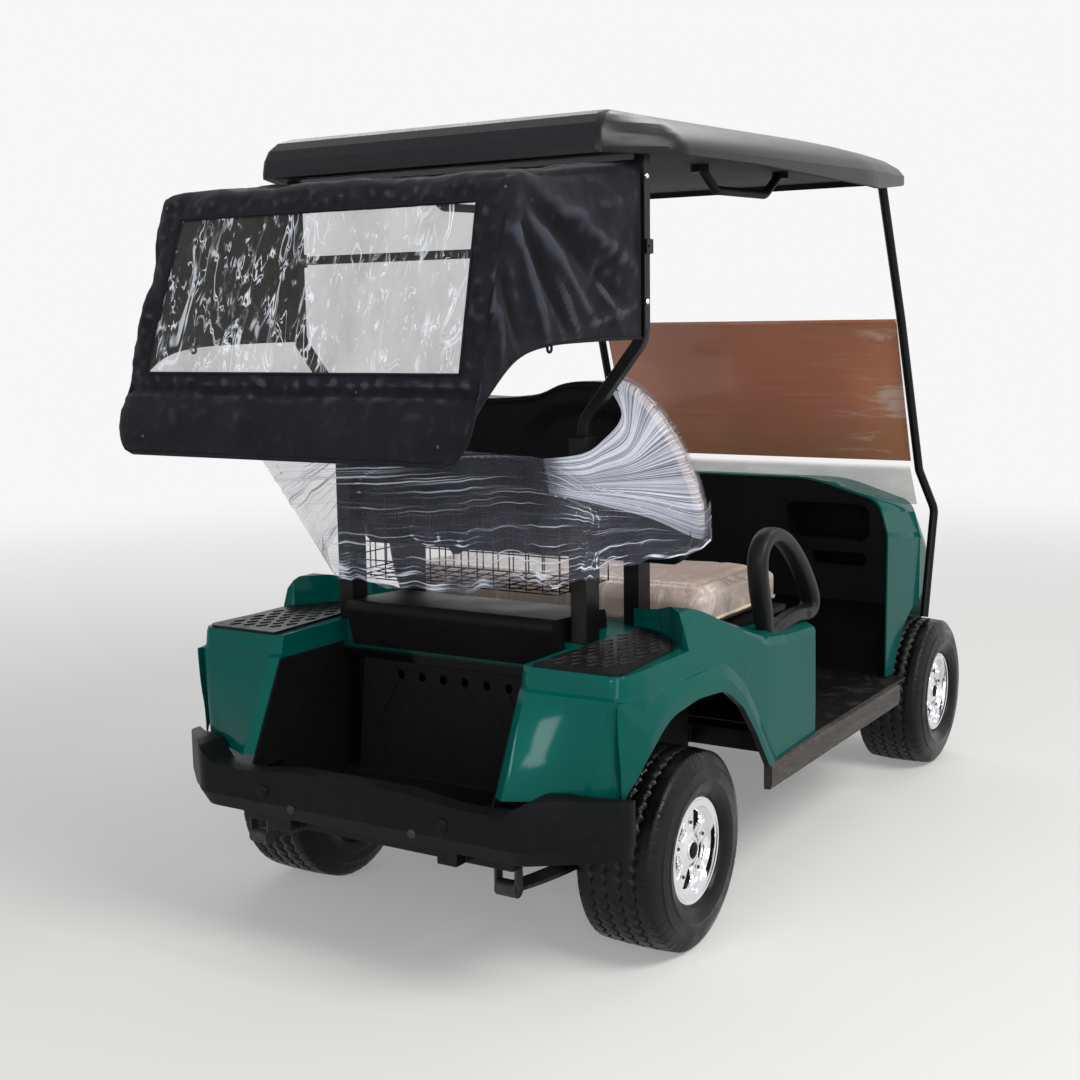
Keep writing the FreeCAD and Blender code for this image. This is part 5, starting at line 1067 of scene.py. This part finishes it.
def buildWindow():
    points = []
    top, low = hood["windowTop"] + window["margin"], hood["windowLow"] - window["margin"]
    for row in range(window["rows"]):
        down = row / (window["rows"] - 1)
        z = between(top, low, down)
        half = windowHalf(z) + window["margin"]
        for column in range(window["columns"]):
            across = column / (window["columns"] - 1)
            x = between(-half, half, across)
            held = min(1.0, 7 * min(down, 1 - down, across * 1.6, (1 - across) * 1.6))
            points.append((x, hoodRearY(z) - 0.0045 + window["wave"] * windowLift(x, z) * held, z))
    faces = gridFaces(window["rows"], window["columns"])
    return plainMesh("bag_cover_window", points, [face[::-1] for face in faces])


pane = settle(placed("bag_cover_window", buildWindow()), "window", "window_vinyl", stands="cover_window")
print("bag cover and its window made")


# Seat back: a puffed cushion with a piped edge, on a black moulded shell

seatBack = {"front": 0.4050, "foot": 0.9050, "lean": math.radians(12), "depth": 0.088, "voxel": 0.0085,
            "pressure": 4.0, "cap": 0.016, "frames": 16, "fill": 0.7, "piping": 0.0050,
            # x and height up the back along the outline of its right half, from the middle of the top
            "outline": [(0.0, 0.350), (0.125, 0.360), (0.200, 0.386), (0.270, 0.392), (0.325, 0.386),
                        (0.368, 0.366), (0.408, 0.324), (0.452, 0.252), (0.482, 0.182), (0.498, 0.122),
                        (0.503, 0.062), (0.494, 0.018), (0.462, 0.003), (0.300, 0.0), (0.0, 0.0)]}


def seatBackPoint(x, deep, high):  # a place on the back, from its width, depth and height
    turn = seatBack["lean"]
    return Vector((x, seatBack["front"] + deep * math.cos(turn) + high * math.sin(turn),
                   seatBack["foot"] + high * math.cos(turn) - deep * math.sin(turn)))


def seatCurve(count):  # the outline's right half, from the middle of the top round to the middle of the foot
    return curveThrough([(x, high, 0) for x, high in seatBack["outline"]], count)


def seatOutline(count, shrink=0.0):  # closed outline in x and height, anticlockwise seen from the front
    half = seatCurve(count)
    points = half + [Vector((-p.x, p.y, 0)) for p in reversed(half[1:-1])]
    inner = []
    for index, point in enumerate(points):
        ahead = (points[(index + 1) % len(points)] - points[index - 1]).normalized()
        away = Vector((ahead.y, -ahead.x, 0))
        if away.dot(point - Vector((0, 0.18, 0))) > 0:
            away = -away
        inner.append((point.x + away.x * shrink, point.y + away.y * shrink))
    return inner


def seatEdge(startX, endHigh, count):  # part of the right-hand outline, from a place on top down to a height
    part = [p for p in seatCurve(400) if p.x >= startX and p.y >= endHigh]
    picked = [part[round(i * (len(part) - 1) / (count - 1))] for i in range(count)]
    return [(-p.x, p.y) for p in picked]


def prism(outlinePoints, place, low, high):  # closed mesh between two depths
    mesh = bmesh.new()
    rings = [[mesh.verts.new(place(x, deep, h)) for x, h in outlinePoints] for deep in (low, high)]
    count = len(outlinePoints)
    for index in range(count):
        after = (index + 1) % count
        mesh.faces.new((rings[0][index], rings[0][after], rings[1][after], rings[1][index]))
    mesh.faces.new(rings[0][::-1])
    mesh.faces.new(rings[1])
    bmesh.ops.recalc_face_normals(mesh, faces=mesh.faces)
    data = bpy.data.meshes.new("prism")
    mesh.to_mesh(data)
    mesh.free()
    return data


def remeshed(name, data, voxel):  # even, fine skin over a closed mesh
    piece = placed(name, data)
    skin = piece.modifiers.new("skin", "REMESH")
    skin.mode = "VOXEL"
    skin.voxel_size = voxel
    smooth = piece.modifiers.new("soft", "SMOOTH")
    smooth.factor = 0.5
    smooth.iterations = 4
    fresh = bpy.data.meshes.new_from_object(piece.evaluated_get(bpy.context.evaluated_depsgraph_get()))
    piece.modifiers.clear()
    piece.data = fresh
    return piece


def inflate(piece, settings):  # blows the skin up like a filled cushion and keeps each point near its start
    start = [v.co.copy() for v in piece.data.vertices]
    cloth = piece.modifiers.new("puff", "CLOTH")
    cloth.settings.quality = 4
    cloth.settings.mass = 0.25
    cloth.settings.use_pressure = True
    cloth.settings.uniform_pressure_force = settings["pressure"]
    cloth.settings.effector_weights.gravity = 0
    cloth.point_cache.frame_start = 1
    cloth.point_cache.frame_end = settings["frames"]
    for step in range(1, settings["frames"] + 1):
        bpy.context.scene.frame_set(step)
    made = piece.evaluated_get(bpy.context.evaluated_depsgraph_get()).to_mesh()
    ends = [v.co.copy() for v in made.vertices]
    piece.modifiers.remove(cloth)
    bpy.context.scene.frame_set(1)
    for vertex, before, after in zip(piece.data.vertices, start, ends):
        move = after - before
        if move.length > settings["cap"]:
            move *= settings["cap"] / move.length
        vertex.co = before + move


def grooved(piece, lines, width, depth):  # sewn channels: the skin sinks along lines of points
    spots = [spot for line in lines for spot in line]
    tree = KDTree(len(spots))
    for index, spot in enumerate(spots):
        tree.insert(spot, index)
    tree.balance()
    normals = [v.normal.copy() for v in piece.data.vertices]
    for vertex, normal in zip(piece.data.vertices, normals):
        vertex.co -= normal * depth * bell(tree.find(vertex.co)[2], width)


def onSkin(piece, spots, lift):  # the nearest places on a piece's skin
    skin = skinOf(piece.data)
    found = []
    for spot in spots:
        place, normal, index, distance = skin.find_nearest(spot)
        found.append(place + normal * lift)
    return found


def finishCushion(piece, material, body, node, fill):
    finer = piece.modifiers.new("finer", "SUBSURF")
    finer.levels = 1
    finer.render_levels = 1
    settle(piece, material, "beige_vinyl", body, node)


backCushion = remeshed("seat_back_cushion", prism(seatOutline(90, 0.010), seatBackPoint, 0.010,
                                                  seatBack["depth"] - 0.002), seatBack["voxel"])
inflate(backCushion, seatBack)
panel = [seatBackPoint(x, 0.0, high) for x, high in seatOutline(160, 0.075)]
grooved(backCushion, [onSkin(backCushion, panel, 0.0)], 0.009, 0.007)
for vertex in backCushion.data.vertices:  # flat where it lies on the shell
    up = seatBackPoint(0, seatBack["depth"], (vertex.co.z - seatBack["foot"]) / math.cos(seatBack["lean"]))
    vertex.co.y = min(vertex.co.y, up.y + 0.001)
finishCushion(backCushion, "vinyl", "root", "seat_back", seatBack["fill"])
rim = onSkin(backCushion, [seatBackPoint(x, -0.004, high) for x, high in seatOutline(220, -0.006)], 0.0015)
meshPiece("seat_back_piping", wireMesh([rim + rim[:1]], seatBack["piping"], 8), "piping", "beige_vinyl")


# Black shell behind the back, pressed in behind each seat, with the sole it stands on

seatShell = {"inset": 0.004, "gap": 0.003, "thick": 0.020, "ring": 120, "rings": 25, "middle": 0.18,
             "lip": 0.006, "scoop": 0.013, "scoopX": 0.245, "scoopHigh": 0.21, "scoopSize": (0.185, 0.135),
             "soleHalf": 0.462, "soleMiddle": (0.070, -0.020), "soleRound": 0.006,
             "sole": [(0.030, -0.002), (0.024, -0.020), (0.034, -0.040), (0.060, -0.045), (0.100, -0.045),
                      (0.112, -0.030), (0.112, 0.004), (0.092, 0.004)],
             # share of the half width and how much of the section is there
             "soleEnds": [(-1.0, 0.25), (-0.985, 0.75), (-0.95, 1.0), (0.95, 1.0), (0.985, 0.75),
                          (1.0, 0.25)]}


def buildShell():
    outer = seatOutline(seatShell["ring"] // 2 + 1, seatShell["inset"])
    near, thick = seatBack["depth"] + seatShell["gap"], seatShell["thick"]
    wide, tall = seatShell["scoopSize"]
    points = [seatBackPoint(x, near, high) for x, high in outer]
    points += [seatBackPoint(x * 1.006, near + thick * 0.8, high * 1.006) for x, high in outer]
    for share in stations((1.0, 0.0), (seatShell["rings"],)):
        for x, high in outer:
            flatX, flatHigh = x * share, between(seatShell["middle"], high, share)
            bowl = 0.0
            for centre in (-seatShell["scoopX"], seatShell["scoopX"]):
                away = math.hypot((flatX - centre) / wide, (flatHigh - seatShell["scoopHigh"]) / tall)
                bowl += seatShell["scoop"] * clamp((1.0 - away) / 0.28)
            lip = seatShell["lip"] * bell(1 - share, 0.05)
            points.append(seatBackPoint(flatX, near + thick + lip - bowl, flatHigh))
    return points, gridFaces(len(points) // len(outer), len(outer), closedColumns=True)


def buildSole():  # rounded ledge under the cushion, down to the posts
    middleDeep, middleHigh = seatShell["soleMiddle"]
    rings = []
    for end, squeeze in seatShell["soleEnds"]:
        rings.append([seatBackPoint(seatShell["soleHalf"] * end, between(middleDeep, deep, squeeze),
                                    between(middleHigh, high, squeeze)) for deep, high in seatShell["sole"]])
    return ringMesh(rings, capped=True)


meshPiece("seat_shell_moulding", buildShell(), "blackVinyl", "black_vinyl", stands="seat_shell")
sole = meshPiece("seat_shell_sole", buildSole(), "blackVinyl", "black_vinyl", stands="seat_shell")
rounding = sole.modifiers.new("round", "BEVEL")
rounding.width = seatShell["soleRound"]
rounding.segments = 3


# Seat bottom: a puffed cushion with a sewn panel and a piped front edge

seatBottom = {"voxel": 0.009, "pressure": 4.0, "cap": 0.018, "frames": 16, "fill": 0.7, "piping": 0.0045,
              "inset": 0.0120, "seamSide": 0.075, "seamFront": 0.085, "pipingHigh": 0.022}


def shrunkCopy(node, inset):
    low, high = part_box(node)
    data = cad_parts[node].data.copy()
    for vertex in data.vertices:
        for axis in range(3):
            middle, half = (low[axis] + high[axis]) / 2, (high[axis] - low[axis]) / 2
            vertex.co[axis] = between(middle, vertex.co[axis], 1 - inset / half)
    return data


bottom = remeshed("seat_bottom_cushion", shrunkCopy("seat_cushion", seatBottom["inset"]), seatBottom["voxel"])
inflate(bottom, seatBottom)
low, high = (Vector(corner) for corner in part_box("seat_cushion"))
for vertex in bottom.data.vertices:  # flat on its board
    vertex.co.z = max(vertex.co.z, low.z + 0.001)
right, left = low.x + seatBottom["seamSide"], high.x - seatBottom["seamSide"]
front, rear, above = low.y + seatBottom["seamFront"], high.y - seatBottom["seamSide"], high.z + 0.01
corners = [Vector((x, y, above)) for x, y in ((left, front), (left, rear), (right, rear), (right, front))]
panelLine = []
for start, end in zip(corners, corners[1:] + corners[:1]):
    panelLine += [start.lerp(end, i / 90) for i in range(90)]
seam = [Vector((0, y, above)) for y in stations((front, rear), (90,))]
grooved(bottom, [onSkin(bottom, panelLine, 0.0), onSkin(bottom, seam, 0.0)], 0.010, 0.008)
finishCushion(bottom, "wrappedVinyl", "seat_lid", "seat_cushion", seatBottom["fill"])
half = high.x - 0.004
ring = [Vector((x, y, low.z + seatBottom["pipingHigh"])) for x, y in (
    (-half, high.y - 0.01), (-half, low.y + 0.07), (-half + 0.05, low.y + 0.012),
    (half - 0.05, low.y + 0.012), (half, low.y + 0.07), (half, high.y - 0.01))]
line = []
for start, end in zip(ring, ring[1:]):
    line += [start.lerp(end, i / 60) for i in range(60)]
pipe = wireMesh([onSkin(bottom, line, 0.001)], seatBottom["piping"], 8)
meshPiece("seat_bottom_piping", pipe, "piping", "beige_vinyl", "seat_lid")
print("cushions made")


# Stretch film: a clear sheet round the posts and the basket, and a gathered fan on the seat back's right side

film = {"across": 260, "up": 220, "ridge": 0.003, "flat": (1.75, 0.27), "fanFlat": (0.5, 0.45),
        "fanRows": 640, "fanColumns": 44, "fanRidge": 0.0028, "fanRimShare": 0.16,
        "fanEdge": (0.300, 0.020),
        # where the sheet's foot runs and where its head runs, from the right side of the seat back
        "foot": [(-0.497, 0.415, 0.902), (-0.507, 0.510, 0.885), (-0.440, 0.620, 0.862),
                 (-0.374, 0.715, 0.846), (-0.354, 0.765, 0.838), (-0.290, 0.796, 0.825),
                 (-0.190, 0.798, 0.802), (0.0, 0.799, 0.795), (0.190, 0.798, 0.795), (0.300, 0.796, 0.797),
                 (0.440, 0.670, 0.850), (0.509, 0.500, 0.900)],
        "head": [(-0.507, 0.445, 0.990), (-0.516, 0.530, 0.980), (-0.455, 0.635, 1.020),
                 (-0.382, 0.725, 1.045), (-0.356, 0.778, 1.070), (-0.290, 0.802, 1.105),
                 (-0.150, 0.806, 1.115), (0.0, 0.812, 1.120), (0.200, 0.832, 1.125), (0.560, 0.792, 1.110),
                 (0.560, 0.650, 1.150), (0.524, 0.520, 1.180)],
        # the fan's upper and lower edges, from the seat back to where it is gathered
        "fanTop": [(-0.390, 0.652, 1.195), (-0.366, 0.705, 1.137), (-0.347, 0.762, 1.115),
                   (-0.279, 0.806, 1.107)],
        "fanLow": [(-0.446, 0.625, 0.965), (-0.378, 0.718, 1.000), (-0.354, 0.764, 1.014),
                   (-0.293, 0.806, 1.032)]}


def filmRidgeHighlight(up, along, pitches):  # threads that run along the film: raised ridges, and their painted highlights
    return sum(share * ripple(up * pitch, along * drift, pitch * 0.37) for pitch, share, drift in pitches)


def sheetMesh(name, rows):  # grid of points with a painted highlight value at each
    spots = [spot for row in rows for spot in row]
    data = plainMesh(name, [point for point, ridgeHighlight in spots], gridFaces(len(rows), len(rows[0])))
    ridgeHighlights = data.attributes.new("ridgeHighlight", "FLOAT", "POINT")
    ridgeHighlights.data.foreach_set("value", [ridgeHighlight for point, ridgeHighlight in spots])
    return data


def outward(points, column, rise):  # away from the cart, across the run of a line
    ahead = points[min(column + 1, len(points) - 1)] - points[max(column - 1, 0)]
    out = rise.cross(ahead).normalized()
    spot = points[column]
    return out if out.dot(Vector((spot.x, spot.y - 0.45, 0))) > 0 else -out


def buildFilm():
    foot = curveThrough(film["foot"], film["across"])
    head = curveThrough(film["head"], film["across"])
    rows = []
    for row in range(film["up"]):
        up = row / (film["up"] - 1)
        line = []
        for column in range(film["across"]):
            along = column / (film["across"] - 1)
            droop = ripple(along * 13, 0.5, 5.5) * 0.5 + ripple(along * 41, 3.1, 5.5) * 0.25
            spot = foot[column].lerp(head[column], up + (1 - up) * droop * 0.16)
            lean = up + 0.2 * ripple(along * 2, up * 1.5, 2.2)
            ridgeHighlight = filmRidgeHighlight(lean, along * 5, [(9, 0.08, 0.6), (34, 0.16, 0.8), (80, 0.44, 1.1),
                                                  (150, 0.5, 1.6)])
            crumple = ripple(along * 46, up * 9, 7.7) * max(0.0, 0.5 - up)
            low = max(0.0, 1 - up / 0.22) * max(0.0, ripple(along * 26, up * 14, 1.9))
            fold = max(0.0, 1 - abs(ripple(along * 19, up * 5 + along * 9, 8.8)) / 0.035)
            crease = fold * max(0.0, ripple(along * 7, up * 3, 2.8)) * 1.2
            out = outward(foot, column, head[column] - foot[column])
            lift = out * ((ridgeHighlight + crumple) * film["ridge"] + 0.002)
            # painted highlights: the kept value is brighter on the ridges, crumples and folds and near the
            # foot
            line.append((spot + lift, ridgeHighlight - 0.03 + 0.5 * abs(crumple) + 1.3 * low + crease))
        rows.append(line)
    return sheetMesh("seat_film_sheet", rows)


def buildFan():
    edge = seatEdge(*film["fanEdge"], film["fanRows"])
    out = Vector((-0.75, 0.6, 0.1)).normalized()
    rows = []
    for row, (x, high) in enumerate(edge):
        share = row / (film["fanRows"] - 1)
        rim = seatBackPoint(x - 0.004, 0.036, high)
        side = seatBackPoint(x - 0.006, seatBack["depth"] + 0.004, high)
        stops = [rim.lerp(side, 0.02), side]
        stops += [Vector(top).lerp(Vector(low), share) for top, low in zip(film["fanTop"], film["fanLow"])]
        line = []
        for column, spot in enumerate(curveThrough(stops, film["fanColumns"])):
            along = column / (film["fanColumns"] - 1)
            lean = share + 0.012 * ripple(along * 3, share * 3, 1.1)
            ridgeHighlight = filmRidgeHighlight(lean, along, [(12, 0.1, 0.3), (44, 0.2, 0.4), (100, 0.44, 0.5),
                                              (200, 0.5, 0.6)])
            held = min(1.0, 14 * min(share, 1 - share)) * (1.0 - 0.6 * along)
            bare = max(0.0, 1 - along / film["fanRimShare"]) ** 0.5 + max(0.0, (along - 0.86) / 0.14) ** 2
            # painted highlights: the kept value is bright on the ridges and falls away at the bare rim and
            # the gathered end
            line.append((spot + out * (0.003 + ridgeHighlight * film["fanRidge"] * held),
                         ridgeHighlight + 0.08 + 0.12 * along - 1.5 * min(1.0, bare)))
        rows.append(line)
    return sheetMesh("seat_film_fan", rows)


for data, material, flat, held, carriers in (
        (buildFilm(), "film", film["flat"], "stretched", ["rear_frame", "seat_back_cushion"]),
        (buildFan(), "fan", film["fanFlat"], "gathered", ["seat_back_cushion", "rear_frame"])):
    piece = settle(placed(data.name, data), material, "stretch_film", stands="seat_film")
    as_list(carriers)


# Armrests: thick rounded loops in place of the plain ones

armrest = {"x": 0.540, "across": 0.025, "thick": 0.0185, "step": 9, "sides": 24,
           # y, z of the loop's middle line, once round from its rear foot
           "line": [(0.186, 0.628), (0.214, 0.690), (0.238, 0.760), (0.246, 0.822), (0.222, 0.862),
                    (0.162, 0.876), (0.088, 0.852), (0.016, 0.804), (-0.042, 0.748), (-0.084, 0.694),
                    (-0.090, 0.660), (-0.058, 0.646), (0.020, 0.650), (0.110, 0.642)]}


def loopMesh(side):
    spots = [Vector((side * armrest["x"], y, z)) for y, z in armrest["line"]]
    line = curveThrough(spots[-2:] + spots + spots[:2], armrest["step"] * (len(spots) + 3) + 1)
    middle = line[2 * armrest["step"]:-armrest["step"] - 1]
    across = Vector((1, 0, 0))
    rings = []
    for index, spot in enumerate(middle):
        out = (middle[(index + 1) % len(middle)] - middle[index - 1]).cross(across).normalized()
        wide = armrest["across"]
        if spot.y > -0.03:  # the rear foot is slimmer
            wide -= 0.004 * clamp((0.70 - spot.z) / 0.05)
        ring = []
        for turn in turns(armrest["sides"]):
            c, s = math.cos(turn), math.sin(turn)
            flat = (abs(c) ** 3 + abs(s) ** 3) ** (-1 / 3)
            ring.append(spot + across * c * wide * flat + out * s * armrest["thick"] * flat)
        rings.append(ring)
    return ringMesh(rings, looped=True)


loops = joined([loopMesh(1), loopMesh(-1)])
meshPiece("armrest_loops", loops, "grip", "black_rubber", stands="armrests")
print("armrest loops made")


# Dark liners: one under each rear corner, between the bumper's shelf and the body, and one inside
# each rear arch

liner = {"top": 0.4125, "thick": 0.002,
         "outline": [(0.300, 1.140), (0.365, 1.140), (0.545, 1.052), (0.582, 0.992), (0.530, 0.950),
                     (0.300, 1.000)]}
house = {"x": 0.352, "thick": 0.003,
         "outline": [(0.250, 0.290), (0.980, 0.290), (0.980, 0.600), (0.250, 0.600)]}


def slab(corners, thickness, turned):  # closed panel of an even thickness
    count = len(corners)
    near, far = tuple(range(count)), tuple(range(count, 2 * count))
    faces = [near, far[::-1]] + [(near[i - 1], far[i - 1], far[i], near[i]) for i in range(count)]
    points = corners + [corner + thickness for corner in corners]
    return points, [face[::-1] for face in faces] if turned else faces


shelves, arches = [], []
for side in (1, -1):
    corners = [Vector((side * x, y, liner["top"])) for x, y in liner["outline"]]
    shelves.append(slab(corners, Vector((0, 0, -liner["thick"])), side > 0))
    corners = [Vector((side * house["x"], y, z)) for y, z in house["outline"]]
    arches.append(slab(corners, Vector((side * house["thick"], 0, 0)), side > 0))
meshPiece("bumper_liner", joined(shelves), "black", "black_plastic", smooth=False)
meshPiece("wheelhouse_liners", joined(arches), "well", "black_plastic", smooth=False)
print("liners made")


# Floor, light and camera

def lamp(name, place, target, size, watts, tint=(1, 1, 1)):
    light = bpy.data.lights.new(name, "AREA")
    light.shape = "RECTANGLE"
    light.size, light.size_y = size
    light.energy = watts
    light.color = tint
    item = placed(name, light)
    item.location = place
    item.rotation_euler = (Vector(target) - Vector(place)).to_track_quat("-Z", "Y").to_euler()


def stageAndLight():
    look = {"floorRadius": 60.0, "floorTone": (0.78, 0.78, 0.77), "skyTone": (0.93, 0.93, 0.93),
            "skyLight": 0.34}
    reach = look["floorRadius"]
    edge = [(reach * math.cos(turn), reach * math.sin(turn), 0) for turn in turns(96)]
    floor = placed("floor", plainMesh("floor", edge, [tuple(range(len(edge)))]))
    ground = Finish("pale_floor")
    far = ground.add("ShaderNodeVectorMath", {"operation": "LENGTH"}, [ground.place], "Value")
    far = far.step(1.2, 9.0, 0.25)
    plain = ground.add("ShaderNodeBsdfDiffuse", {}, {"Color": look["floorTone"]})
    glow = ground.add("ShaderNodeEmission", {}, {"Color": look["skyTone"], "Strength": 1.0})
    both = ground.add("ShaderNodeMixShader", {}, [far, plain, glow])
    ground.add("ShaderNodeOutputMaterial", {}, {"Surface": both})
    floor.data.materials.append(ground.made)

    sky = Finish("studio", bpy.data.worlds.new("studio"))
    bpy.context.scene.world = sky.made
    camera, through, mirrored = (sky.add("ShaderNodeLightPath", {}, {}, "Is " + kind + " Ray")
                                 for kind in ("Camera", "Transmission", "Glossy"))
    strength = sky.add("ShaderNodeMapRange", {}, {"Value": camera.greatest(through).greatest(mirrored),
                                                  "To Min": look["skyLight"], "To Max": 1.0})
    background = sky.add("ShaderNodeBackground", {}, {"Color": look["skyTone"], "Strength": strength})
    sky.add("ShaderNodeOutputWorld", {}, {"Surface": background})

    # name, place, target, size, watts and colour
    lamp("key", (-4.2, 1.2, 4.6), (0, 0, 0.7), (3.2, 2.2), 240.0, (1.0, 0.98, 0.94))
    lamp("side", (-3.0, 5.0, 2.2), (0, 0.4, 0.8), (1.6, 2.4), 55.0)
    lamp("sheen", (0.5, 6.2, 2.5), (-0.2, 0.9, 0.55), (2.0, 0.7), 56.0)
    lamp("overhead", (-0.6, -3.4, 4.6), (-0.3, 0.5, 0.6), (3.5, 0.7), 50.0)
    lamp("front", (3.6, -4.2, 3.6), (0, 0, 0.8), (3.0, 2.4), 50.0, (0.95, 0.98, 1.0))


def photoCamera():
    view = {"place": (-2.01267, 3.61740, 1.40062), "yaw": 0.5547921, "pitch": -0.1416434, "roll": -0.0147571,
            "lens": 51.0}
    yaw, pitch, roll = view["yaw"], view["pitch"], view["roll"]
    ahead = Vector((math.sin(yaw) * math.cos(pitch), -math.cos(yaw) * math.cos(pitch), math.sin(pitch)))
    right = ahead.cross(Vector((0, 0, 1))).normalized()
    up = right.cross(ahead)
    turnedRight = right * math.cos(roll) + up * math.sin(roll)
    turnedUp = up * math.cos(roll) - right * math.sin(roll)
    camera = placed("camera", bpy.data.cameras.new("camera"))
    turn = Matrix((turnedRight, turnedUp, -ahead)).transposed().to_4x4()
    camera.matrix_world = Matrix.Translation(view["place"]) @ turn
    camera.data.lens = view["lens"]
    camera.data.sensor_width = 36
    camera.data.clip_end = 200
    bpy.context.scene.camera = camera


stageAndLight()
photoCamera()
bpy.context.scene.view_settings.view_transform = "Standard"
print("stage, lamps and camera set")
